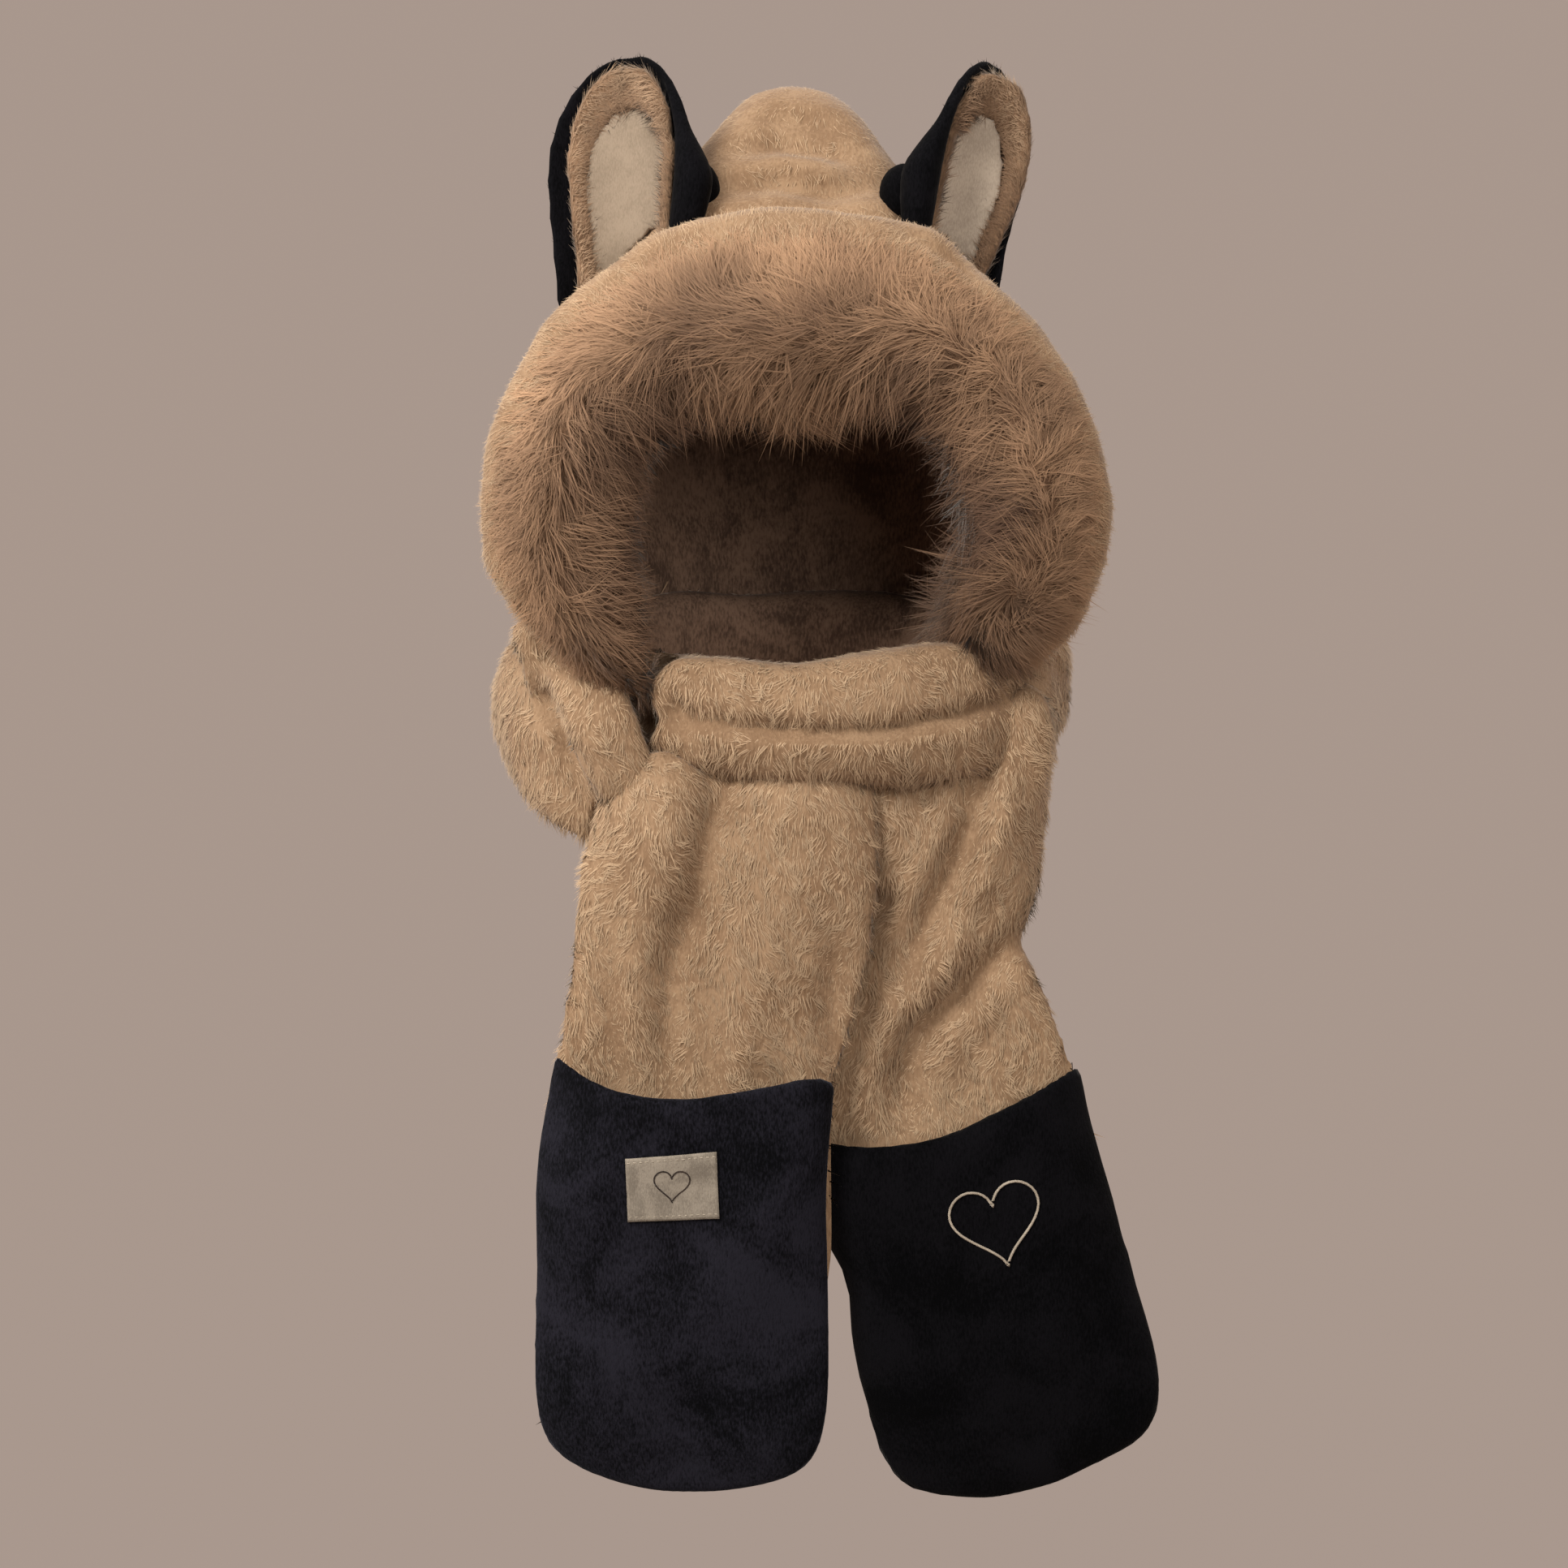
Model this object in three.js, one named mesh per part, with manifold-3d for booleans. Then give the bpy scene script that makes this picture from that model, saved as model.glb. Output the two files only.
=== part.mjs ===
// Plush hood scarf with animal ears, worn: a hollow hood with a thick fur brim
// round the face, two cupped ears, a scarf wound once round the neck, and two
// hanging tails that end in open hand pockets.
//
// Millimetres, +Z up, the face looks along -Y. The origin is the inside of the
// crown, where the hood sits on a head. Tables hold shares of the named sizes.

import * as THREE from 'three';
import { mergeVertices } from 'three/addons/utils/BufferGeometryUtils.js';
import Module from 'manifold-3d';

const wasm = await Module();
wasm.setup();

// Sewn pieces keep this gap.
const seam = 0.35;

const crown = {
	halfWidth: 140,
	front: 98,
	back: 138,
	drop: 360,
	wall: 11,
	roundBack: 2.25, // exponents of the section's two halves
	roundFront: 3.6,
	steps: 22,
	levels: 13,
	levelsInside: 9,
	crowding: 1.7, // how much closer the levels lie near the apex
};

const brim = {
	radius: 139, // face centre to the middle of the roll, at the side
	faceDrop: 254, // crown to the centre of the face opening
	forward: 105, // origin to the roll's middle, at the side
	half: 50, // half the roll's height across, at the side
	depth: 52, // half the roll's depth, front to back
	steps: 24,
	around: 16,
	opening: 0.7, // where the crown's face is cut away, as a share of `forward`
	openingStep: 10,
};

const fur = {
	skin: 10, // backing and dense pile
	from: 45, // degrees round the roll, from its outside towards the front
	to: 225,
	lockHeight: 9, // a lock's tip above the backing, and its reach along it
	lockReach: 27,
	lockWidth: 18,
	lockSides: 4,
	lockRows: 5,
	lockColumns: 15,
	leastLean: 0.3,
	combStep: 8, // degrees round the roll that a lock's direction is taken over
	across: 8, // steps across the backing
};

const ear = {
	height: 118,
	half: 45,
	cup: 26,
	bend: 76, // degrees that half the ear bends round
	backing: 4.5,
	rim: 0.75, // how far across the lining reaches
	pile: 7,
	gap: 0.8, // backing to panel, because both are cupped
	panel: 3,
	seat: 98, // crown to the middle of the ear's root
	forward: 62,
	tiltBack: 3,
	gather: 13, // radius of the fold at its thickest
	gatherAt: -0.96, // its place across the ear
	gatherSteps: 8,
};

// How each ear stands. Columns: side of the hood, centre to root, degrees that it
// turns and leans outwards, and share of the width.
const ears = [
	{ name: 'left', side: -1, out: 94, turnOut: 27, lean: 2, width: 1 },
	{ name: 'right', side: 1, out: 87, turnOut: 38, lean: 18, width: 0.86 },
];

const wrap = {
	halfWide: 147,
	halfDeep: 104,
	half: 27, // half the roll's thickness
	height: 42, // half its height
	drop: 368, // crown to the middle of the roll in front
	crease: 7,
	creaseAt: 0.04, // shares of the roll's height
	creaseWidth: 0.2,
	offside: 1,
	roundness: 2.8,
	steps: 32,
	around: 12,
};

const turn = {
	reach: 160,
	half: 24,
	height: 42,
	fold: 5,
	foldAt: 0.1, // shares of the roll's height
	foldWidth: 0.2,
	shallow: 0.9, // its depth from front to back over its width
	roundness: 2.4,
	steps: 12,
	around: 10,
};

const tail = {
	half: 90,
	top: 380, // crown to the tail's top
	thick: 15,
	leastEdge: 0.02, // how thin a side edge gets, as a share squared
	backFold: 0.6, // how much of a fold shows behind
	across: 10,
	along: 16,
};

const leftTail = { side: -62, forward: 110, width: 1, length: 450 };
const rightTail = { side: 98, forward: 80, width: 0.95, length: 458 };

const pocket = {
	wall: 6,
	depth: 20,
	footDepth: 0.8, // how deep it still is towards its foot, as a share
	mouthDip: 16,
	stitch: 0.85, // tail to pocket along the sewn edges
	lip: 0.012, // least distance between rows, as a share of the tail
};

const label = { width: 54, height: 42, thick: 1.4, side: -7, drop: 264, rows: 3, columns: 4 };

// Crown levels, from the apex down. Columns: share of the drop, of the half
// width, of the front and of the back.
const crownLevels = [
	{ at: 0.0, wide: 0.05, front: 0.05, back: 0.05 },
	{ at: 0.006, wide: 0.15, front: 0.2, back: 0.22 },
	{ at: 0.03, wide: 0.26, front: 0.4, back: 0.4 },
	{ at: 0.06, wide: 0.335, front: 0.52, back: 0.52 },
	{ at: 0.11, wide: 0.437, front: 0.66, back: 0.66 },
	{ at: 0.165, wide: 0.545, front: 0.8, back: 0.77 },
	{ at: 0.23, wide: 0.67, front: 0.9, back: 0.87 },
	{ at: 0.32, wide: 0.81, front: 0.97, back: 0.95 },
	{ at: 0.43, wide: 0.92, front: 1.0, back: 0.99 },
	{ at: 0.55, wide: 0.985, front: 1.0, back: 1.0 },
	{ at: 0.68, wide: 1.0, front: 1.0, back: 0.96 },
	{ at: 0.82, wide: 0.95, front: 0.98, back: 0.86 },
	{ at: 1.0, wide: 0.78, front: 0.93, back: 0.72 },
];

// Wrinkles over the top of the crown, between the ears. Columns: share of the
// drop, half the spread in degrees, depth and half width as shares of the wall.
const crownWrinkles = [
	{ at: 0.085, spread: 46, depth: 0.4, width: 0.75 },
	{ at: 0.16, spread: 60, depth: 0.5, width: 0.9 },
];

// Round the face, counter-clockwise from the wearer's left hand. Columns:
// degrees, shares of the ring's radius, of the roll's half height and depth, and
// how far it stands forward.
const brimStations = [
	{ at: -43, radius: 0.95, half: 0.42, depth: 0.42, forward: 0.5 },
	{ at: -36, radius: 0.98, half: 0.66, depth: 0.64, forward: 0.62 },
	{ at: -22, radius: 1.02, half: 0.88, depth: 0.88, forward: 0.86 },
	{ at: 0, radius: 1.04, half: 0.94, depth: 1.0, forward: 1.0 },
	{ at: 30, radius: 0.99, half: 1.02, depth: 1.04, forward: 1.05 },
	{ at: 60, radius: 0.89, half: 1.16, depth: 1.06, forward: 1.1 },
	{ at: 90, radius: 0.81, half: 1.27, depth: 1.08, forward: 1.13 },
	{ at: 120, radius: 0.89, half: 1.2, depth: 1.06, forward: 1.1 },
	{ at: 150, radius: 0.97, half: 1.08, depth: 1.04, forward: 1.05 },
	{ at: 180, radius: 1.0, half: 1.0, depth: 1.0, forward: 1.02 },
	{ at: 205, radius: 1.0, half: 0.9, depth: 0.92, forward: 1.0 },
	{ at: 222, radius: 0.99, half: 0.74, depth: 0.76, forward: 0.99 },
	{ at: 236, radius: 0.99, half: 0.4, depth: 0.46, forward: 0.97 },
];

// Up an ear from its root. Columns: share of the height, of the half width, of
// the cup's depth.
const earLevels = [
	{ at: -0.3, wide: 0.84, cup: 1.0 },
	{ at: -0.05, wide: 0.86, cup: 1.0 },
	{ at: 0.15, wide: 0.92, cup: 0.95 },
	{ at: 0.35, wide: 0.98, cup: 0.87 },
	{ at: 0.52, wide: 1.0, cup: 0.76 },
	{ at: 0.67, wide: 0.92, cup: 0.62 },
	{ at: 0.79, wide: 0.78, cup: 0.47 },
	{ at: 0.88, wide: 0.6, cup: 0.32 },
	{ at: 0.95, wide: 0.38, cup: 0.18 },
	{ at: 1.0, wide: 0.12, cup: 0.05 },
];

// The gathered fold at an ear's inner edge. Columns: share of the ear's height,
// and shares of the fold's radius: its own, and how far it leans inwards.
const gatherLevels = [
	{ at: -0.1, radius: 0.6, inward: 0.2 },
	{ at: 0.1, radius: 0.8, inward: 0.45 },
	{ at: 0.24, radius: 0.95, inward: 0.6 },
	{ at: 0.36, radius: 1.0, inward: 0.65 },
	{ at: 0.47, radius: 0.72, inward: 0.35 },
	{ at: 0.58, radius: 0.4, inward: 0.1 },
	{ at: 0.72, radius: 0.24, inward: 0 },
	{ at: 0.84, radius: 0.08, inward: 0 },
];

// The pale panel inside an ear. Columns: share of the ear's height, and how far
// across it reaches to each side.
const panelLevels = [
	{ at: -0.2, inner: 0.42, outer: 0.42 },
	{ at: 0.1, inner: 0.48, outer: 0.46 },
	{ at: 0.35, inner: 0.52, outer: 0.45 },
	{ at: 0.52, inner: 0.5, outer: 0.38 },
	{ at: 0.64, inner: 0.38, outer: 0.26 },
	{ at: 0.71, inner: 0.2, outer: 0.1 },
];

// Round the neck, counter-clockwise from above, from the wearer's left side.
// Columns: degrees, share of the roll's height and thickness, and how much lower
// the roll's middle is than the drop, as a share of the roll's height.
const wrapStations = [
	{ at: 0, height: 0.9, half: 0.98, lower: -0.45 },
	{ at: 45, height: 0.86, half: 0.9, lower: -0.75 },
	{ at: 90, height: 0.84, half: 0.86, lower: -0.85 },
	{ at: 135, height: 0.84, half: 0.86, lower: -0.75 },
	{ at: 180, height: 0.84, half: 0.9, lower: -0.4 },
	{ at: 225, height: 0.84, half: 0.94, lower: -0.2 },
	{ at: 250, height: 0.96, half: 1.02, lower: 0.08 },
	{ at: 275, height: 1.0, half: 1.06, lower: 0.14 },
	{ at: 315, height: 1.06, half: 1.08, lower: 0 },
	{ at: 338, height: 0.98, half: 1.04, lower: -0.2 },
	{ at: 360, height: 0.9, half: 0.98, lower: -0.45 },
];

// The loose turn of scarf on the right of the neck, from the nape to the front.
// Columns: degrees as above, share of the reach, drop as a share of the wrap's
// drop, share of the roll's height and thickness.
const turnStations = [
	{ at: 100, reach: 0.66, drop: 0.93, height: 0.7, half: 0.7 },
	{ at: 135, reach: 0.84, drop: 0.94, height: 0.9, half: 0.9 },
	{ at: 165, reach: 0.99, drop: 0.97, height: 1.0, half: 1.0 },
	{ at: 192, reach: 1.02, drop: 1.02, height: 1.08, half: 1.05 },
	{ at: 212, reach: 1.0, drop: 1.08, height: 1.06, half: 1.0 },
	{ at: 226, reach: 0.9, drop: 1.16, height: 0.86, half: 0.85 },
	{ at: 238, reach: 0.76, drop: 1.22, height: 0.5, half: 0.6 },
];

// Down each tail. Columns: share of the length, sideways and forward as shares
// of the tail's half width, half width, half thickness, lean in degrees, and how
// far the edges curl back, as a share of the half width.
const leftStations = [
	{ at: 0.0, side: 0.42, forward: -0.26, wide: 0.78, thick: 0.95, lean: 0, curl: 0.1 },
	{ at: 0.067, side: 0.36, forward: -0.08, wide: 0.91, thick: 1.05, lean: 0, curl: 0.08 },
	{ at: 0.16, side: 0.28, forward: 0.02, wide: 0.99, thick: 1.05, lean: 0, curl: 0.05 },
	{ at: 0.25, side: 0.24, forward: 0.02, wide: 1.0, thick: 1.0, lean: 0, curl: 0.03 },
	{ at: 0.33, side: 0.19, forward: 0.01, wide: 0.98, thick: 0.9, lean: 0, curl: 0.02 },
	{ at: 0.41, side: 0.09, forward: 0.0, wide: 0.95, thick: 0.74, lean: 0, curl: 0 },
	{ at: 0.47, side: 0.0, forward: 0.0, wide: 0.93, thick: 0.54, lean: 0, curl: 0 },
	{ at: 0.54, side: -0.03, forward: 0.0, wide: 0.945, thick: 0.42, lean: 0, curl: 0 },
	{ at: 0.75, side: -0.05, forward: 0.0, wide: 0.97, thick: 0.38, lean: 0, curl: 0 },
	{ at: 0.87, side: -0.05, forward: 0.0, wide: 0.98, thick: 0.38, lean: -1, curl: 0 },
	{ at: 0.93, side: -0.055, forward: 0.0, wide: 0.93, thick: 0.38, lean: -1.5, curl: 0 },
	{ at: 0.958, side: -0.05, forward: 0.0, wide: 0.86, thick: 0.36, lean: -2, curl: 0 },
	{ at: 0.983, side: -0.04, forward: 0.0, wide: 0.68, thick: 0.34, lean: -2, curl: 0 },
	{ at: 0.994, side: -0.03, forward: 0.0, wide: 0.48, thick: 0.32, lean: -2, curl: 0 },
	{ at: 1.0, side: 0.0, forward: 0.0, wide: 0.2, thick: 0.3, lean: -2, curl: 0 },
];

const rightStations = [
	{ at: 0.0, side: 0.22, forward: -0.1, wide: 0.56, thick: 1.0, lean: 0, curl: 0.3 },
	{ at: 0.08, side: 0.1, forward: 0.0, wide: 0.6, thick: 1.1, lean: -3, curl: 0.26 },
	{ at: 0.18, side: 0.0, forward: 0.02, wide: 0.64, thick: 1.15, lean: -3, curl: 0.2 },
	{ at: 0.27, side: -0.1, forward: 0.0, wide: 0.56, thick: 1.2, lean: 3, curl: 0.12 },
	{ at: 0.35, side: -0.1, forward: 0.0, wide: 0.72, thick: 1.0, lean: 9, curl: 0.06 },
	{ at: 0.42, side: -0.05, forward: 0.0, wide: 0.84, thick: 0.78, lean: 13, curl: 0.02 },
	{ at: 0.48, side: 0.0, forward: 0.0, wide: 0.88, thick: 0.56, lean: 14, curl: 0 },
	{ at: 0.6, side: 0.1, forward: 0.0, wide: 0.94, thick: 0.42, lean: 14, curl: 0 },
	{ at: 0.74, side: 0.25, forward: 0.0, wide: 1.0, thick: 0.38, lean: 13, curl: 0 },
	{ at: 0.87, side: 0.38, forward: 0.0, wide: 1.04, thick: 0.38, lean: 12, curl: 0 },
	{ at: 0.93, side: 0.44, forward: 0.0, wide: 0.99, thick: 0.38, lean: 12, curl: 0 },
	{ at: 0.96, side: 0.46, forward: 0.0, wide: 0.9, thick: 0.36, lean: 12, curl: 0 },
	{ at: 0.985, side: 0.47, forward: 0.0, wide: 0.68, thick: 0.34, lean: 13, curl: 0 },
	{ at: 1.0, side: 0.46, forward: 0.0, wide: 0.24, thick: 0.3, lean: 13, curl: 0 },
];

// Folds of a tail. Columns: where they start and end, across and down the tail
// as shares, their depth as a share of the tail's thickness, and half width.
const leftFolds = [
	{ fromAcross: -0.02, toAcross: -0.12, from: -0.1, to: 0.44, depth: 0.75, width: 0.2 },
	{ fromAcross: 0.8, toAcross: 0.62, from: 0.2, to: 0.5, depth: 0.35, width: 0.2 },
];

const rightFolds = [
	{ fromAcross: 0.05, toAcross: -0.3, from: -0.1, to: 0.28, depth: 0.7, width: 0.26 },
	{ fromAcross: 0.6, toAcross: -0.2, from: 0.2, to: 0.54, depth: 0.7, width: 0.3 },
];

const leftMouth = [
	{ at: -1, down: 0.418, dip: 0 },
	{ at: -0.57, down: 0.43, dip: 0.9 },
	{ at: -0.1, down: 0.438, dip: 1.2 },
	{ at: 0.3, down: 0.446, dip: 0.55 },
	{ at: 0.72, down: 0.45, dip: 0.2 },
	{ at: 0.88, down: 0.452, dip: 0.0 },
	{ at: 1, down: 0.455, dip: 0.35 },
];

const rightMouth = [
	{ at: -1, down: 0.478, dip: 0.1 },
	{ at: -0.7, down: 0.478, dip: 0.75 },
	{ at: -0.35, down: 0.478, dip: 1.15 },
	{ at: 0.05, down: 0.478, dip: 1.1 },
	{ at: 0.4, down: 0.478, dip: 0.55 },
	{ at: 0.75, down: 0.478, dip: 0.1 },
	{ at: 1, down: 0.478, dip: 0.0 },
];

const rad = THREE.MathUtils.degToRad;
const lerp = THREE.MathUtils.lerp;
const vec = (x, y, z) => new THREE.Vector3(x, y, z);
const signedPower = (value, power) => Math.sign(value) * Math.abs(value) ** power;
const bump = (distance, width) => Math.exp(-((distance / width) ** 2));

// A column of a table at any place, on a smooth curve through its rows.
function read(table, column, at) {
	const last = table.length - 1;
	if (at <= table[0].at) return table[0][column];
	if (at >= table[last].at) return table[last][column];
	const i = table.findIndex((row) => row.at > at) - 1;
	const slope = (k) => {
		const before = table[Math.max(k - 1, 0)];
		const after = table[Math.min(k + 1, last)];
		return (after[column] - before[column]) / (after.at - before.at);
	};
	const span = table[i + 1].at - table[i].at;
	const t = (at - table[i].at) / span;
	const start = table[i][column];
	const end = table[i + 1][column];
	return (
		start * (2 * t ** 3 - 3 * t ** 2 + 1) +
		end * (3 * t ** 2 - 2 * t ** 3) +
		span * (slope(i) * (t ** 3 - 2 * t ** 2 + t) + slope(i + 1) * (t ** 3 - t ** 2))
	);
}

// One solid skinned over rings of points. Each ring goes out along one side and
// comes back along the other, so that strips between the sides close its ends.
function skinned(rings, joinsUp = false) {
	const across = rings[0].length;
	const points = rings.flat();
	const faces = [];
	const quad = (a, b, c, d) => faces.push(a, b, c, a, c, d);
	const stretches = joinsUp ? rings.length : rings.length - 1;
	for (let i = 0; i < stretches; i++) {
		const here = i * across;
		const next = ((i + 1) % rings.length) * across;
		for (let j = 0; j < across; j++) {
			const k = (j + 1) % across;
			quad(here + j, here + k, next + k, next + j);
		}
	}
	if (!joinsUp) {
		const end = (rings.length - 1) * across;
		for (let j = 0; j < across / 2 - 1; j++) {
			const back = across - 1 - j;
			quad(j, back, back - 1, j + 1);
			quad(end + j, end + j + 1, end + back - 1, end + back);
		}
	}
	const flat = new Float32Array(points.flatMap((p) => [p.x, p.y, p.z]));
	const geometry = new THREE.BufferGeometry();
	geometry.setAttribute('position', new THREE.BufferAttribute(flat, 3));
	geometry.setIndex(faces);
	return solid(geometry);
}

// Turns a closed geometry into a solid with its faces outwards.
function solid(geometry) {
	geometry.deleteAttribute('normal');
	geometry.deleteAttribute('uv');
	const merged = mergeVertices(geometry, 1e-3);
	const make = (triVerts) =>
		new wasm.Manifold(
			new wasm.Mesh({
				numProp: 3,
				vertProperties: merged.attributes.position.array,
				triVerts,
			}),
		);
	const faces = new Uint32Array(merged.index.array);
	const made = make(faces);
	return made.volume() < 0 ? make(faces.reverse()) : made;
}

// Cuts tools out of a body and keeps its largest piece.
function trimmed(body, ...tools) {
	const cut = tools.reduce((left, tool) => left.subtract(tool), body);
	const pieces = cut.decompose().sort((a, b) => b.volume() - a.volume());
	return pieces[0];
}

function mesh(name, body, material) {
	const made = body.getMesh();
	const geometry = new THREE.BufferGeometry();
	const positions = new THREE.BufferAttribute(made.vertProperties, made.numProp);
	geometry.setAttribute('position', positions);
	geometry.setIndex(new THREE.BufferAttribute(made.triVerts, 1));
	geometry.computeVertexNormals();
	const piece = new THREE.Mesh(geometry, material);
	piece.name = name;
	return piece;
}

// A sheet over a surface, through the listed places along it. reach(v) gives
// the two ends across it, and near and far are offsets along the normal.
function sheet(surface, rows, columns, reach, near, far) {
	const rings = rows.map((v) => {
		const [low, high] = reach(v);
		const side = (offset) =>
			Array.from({ length: columns + 1 }, (_, j) => {
				const { point, normal } = surface(lerp(low, high, j / columns), v);
				return point.addScaledVector(normal, offset);
			});
		return [...side(near), ...side(far).reverse()];
	});
	return skinned(rings);
}

// A superellipse loop of unit size, with an exponent for each of its halves.
function loop(steps, upperRoundness, lowerRoundness = upperRoundness) {
	return Array.from({ length: steps }, (_, i) => {
		const angle = ((i + 0.5) / steps) * 2 * Math.PI;
		const power = 2 / (angle < Math.PI ? upperRoundness : lowerRoundness);
		const across = signedPower(Math.cos(angle), power);
		const up = signedPower(Math.sin(angle), power);
		return { angle, across, up };
	});
}

function wrinkleDepth(level, angle) {
	const fromFront = THREE.MathUtils.radToDeg(Math.abs(angle - 1.5 * Math.PI));
	return crownWrinkles.reduce((sum, fold) => {
		const height = (level - fold.at) * crown.drop;
		const deep = fold.depth * crown.wall;
		return sum + deep * bump(height, fold.width * crown.wall) * bump(fromFront, fold.spread);
	}, 0);
}

// The crown as a full body, moved outwards by `grow`, with its foot lower by
// `below`.
function crownBody(grow, levels, below) {
	const rings = [];
	const section = loop(crown.steps, crown.roundBack, crown.roundFront);
	for (let i = 0; i <= levels; i++) {
		const level = (i / levels) ** crown.crowding;
		const row = (column) => read(crownLevels, column, level);
		const wide = row('wide') * crown.halfWidth + grow;
		const front = row('front') * crown.front + grow;
		const back = row('back') * crown.back + grow;
		const z = crown.wall - level * (crown.drop + crown.wall + below) + grow * (1 - level);
		rings.push(
			section.map(({ across, up, angle }) => {
				const dent = 1 - wrinkleDepth(level, angle) / crown.front;
				return vec(across * wide, up * (up < 0 ? front : back) * dent, z);
			}),
		);
	}
	return skinned(rings);
}

// Where the brim's roll is at an angle round the face, and its directions.
function brimFrame(degrees) {
	const row = (column) => read(brimStations, column, degrees);
	const angle = rad(degrees);
	const out = vec(Math.cos(angle), 0, Math.sin(angle));
	const middle = vec(0, -row('forward') * brim.forward, -brim.faceDrop);
	middle.addScaledVector(out, row('radius') * brim.radius);
	return { middle, out, half: row('half') * brim.half, depth: row('depth') * brim.depth };
}

// A point of the brim's outside: u is degrees round the roll from its outer edge
// towards the front, v is degrees round the face.
function brimSurface(u, v) {
	const at = (turnDegrees, faceDegrees) => {
		const { middle, out, half, depth } = brimFrame(faceDegrees);
		const angle = rad(turnDegrees);
		middle.addScaledVector(out, half * Math.cos(angle));
		middle.y -= depth * Math.sin(angle);
		return middle;
	};
	const step = 0.5;
	const point = at(u, v);
	const alongU = at(u + step, v).sub(point);
	const alongV = at(u, v + step).sub(point);
	return { point, normal: alongU.cross(alongV).normalize().negate() };
}

// How far the furred part stands inside the roll's outside, at a place round it.
function furSeat(u) {
	const turnDegrees = ((u % 360) + 360) % 360;
	const edge = 15;
	const inside = THREE.MathUtils.smoothstep(turnDegrees, fur.from - edge, fur.from);
	const outside = THREE.MathUtils.smoothstep(turnDegrees, fur.to, fur.to + edge);
	return (inside - outside) * fur.skin;
}

const brimFirst = brimStations[0].at;
const brimLast = brimStations[brimStations.length - 1].at;
const brimRows = Array.from({ length: brim.steps + 1 }, (_, i) =>
	lerp(brimFirst, brimLast, i / brim.steps),
);

function brimBody(offset, grow = 0) {
	const rings = [];
	const past = THREE.MathUtils.radToDeg(grow / brim.radius);
	const stretch = 1 + (2 * past) / (brimLast - brimFirst);
	for (const row of brimRows) {
		const v = (row - brimFirst) * stretch + brimFirst - past;
		const ring = [];
		for (let j = 0; j < brim.around; j++) {
			const u = (j * 360) / brim.around;
			const { point, normal } = brimSurface(u, v);
			ring.push(point.addScaledVector(normal, offset(u)));
		}
		rings.push(ring);
	}
	return skinned(rings);
}

// One pointed lock of long fur, with its root in the backing. Its tip lies over
// towards the roll's outside or its inside, by the share `lean`.
function lock(u, v, lean) {
	const root = brimSurface(u, v);
	const beyond = brimSurface(u + Math.sign(lean) * fur.combStep, v);
	const comb = beyond.point.sub(root.point).normalize();
	const side = vec(0, 0, 0).crossVectors(root.normal, comb);
	const size = Math.min(brimFrame(v).half / brim.half, 1);
	const way = root.normal.clone().multiplyScalar(fur.lockHeight + fur.skin / 2);
	way.addScaledVector(comb, fur.lockReach * Math.abs(lean) * size);
	side.multiplyScalar(fur.lockWidth * size);
	comb.multiplyScalar(fur.lockWidth * size);
	const cone = new THREE.ConeGeometry(1, 1, fur.lockSides);
	cone.translate(0, 0.5, 0);
	cone.applyMatrix4(new THREE.Matrix4().makeBasis(comb, way, side));
	const seat = root.point.addScaledVector(root.normal, -fur.skin / 2);
	cone.translate(seat.x, seat.y, seat.z);
	return solid(cone);
}

function furLocks() {
	const locks = [];
	const middle = (fur.from + fur.to) / 2;
	const inset = (fur.to - fur.from) / (2 * fur.lockRows);
	for (let row = 0; row < fur.lockRows; row++) {
		const u = lerp(fur.from + inset, fur.to - inset, row / (fur.lockRows - 1));
		const lean = (u - middle) / (fur.to - middle);
		for (let column = 0; column < fur.lockColumns; column++) {
			const shift = row % 2 ? 0.25 : 0.75;
			const v = lerp(brimFirst, brimLast, (column + shift) / fur.lockColumns);
			locks.push(lock(u, v, lean + (lean < 0 ? -1 : 1) * fur.leastLean));
		}
	}
	return locks;
}

function furTrim() {
	const edges = () => [fur.from, fur.to];
	const backing = sheet(brimSurface, brimRows, fur.across, edges, seam - fur.skin, 0);
	return furLocks().reduce((whole, one) => whole.add(one), backing);
}

// A prism through the face, bounded by the middle of the brim's roll.
function faceCutter(shortBy) {
	const outline = [];
	for (let degrees = brimFirst; degrees <= brimLast; degrees += brim.openingStep) {
		const { middle } = brimFrame(degrees);
		outline.push(new THREE.Vector2(middle.x, middle.z));
	}
	outline.push(new THREE.Vector2(outline[outline.length - 1].x, -2 * crown.drop));
	outline.push(new THREE.Vector2(outline[0].x, -2 * crown.drop));
	const depth = 2 * brim.forward;
	const prism = new THREE.ExtrudeGeometry(new THREE.Shape(outline), {
		depth,
		bevelEnabled: false,
	});
	prism.rotateX(Math.PI / 2);
	prism.translate(0, -brim.forward * brim.opening - shortBy, 0);
	return solid(prism);
}

// The ring of scarf round the neck.
function wrapFrame(degrees) {
	const row = (column) => read(wrapStations, column, degrees);
	const angle = rad(degrees);
	const middle = vec(
		wrap.offside + wrap.halfWide * Math.cos(angle),
		wrap.halfDeep * Math.sin(angle),
		-wrap.drop - row('lower') * wrap.height,
	);
	const out = vec(Math.cos(angle) / wrap.halfWide, Math.sin(angle) / wrap.halfDeep, 0);
	out.normalize();
	return { middle, out, half: row('half') * wrap.half, height: row('height') * wrap.height };
}

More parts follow.
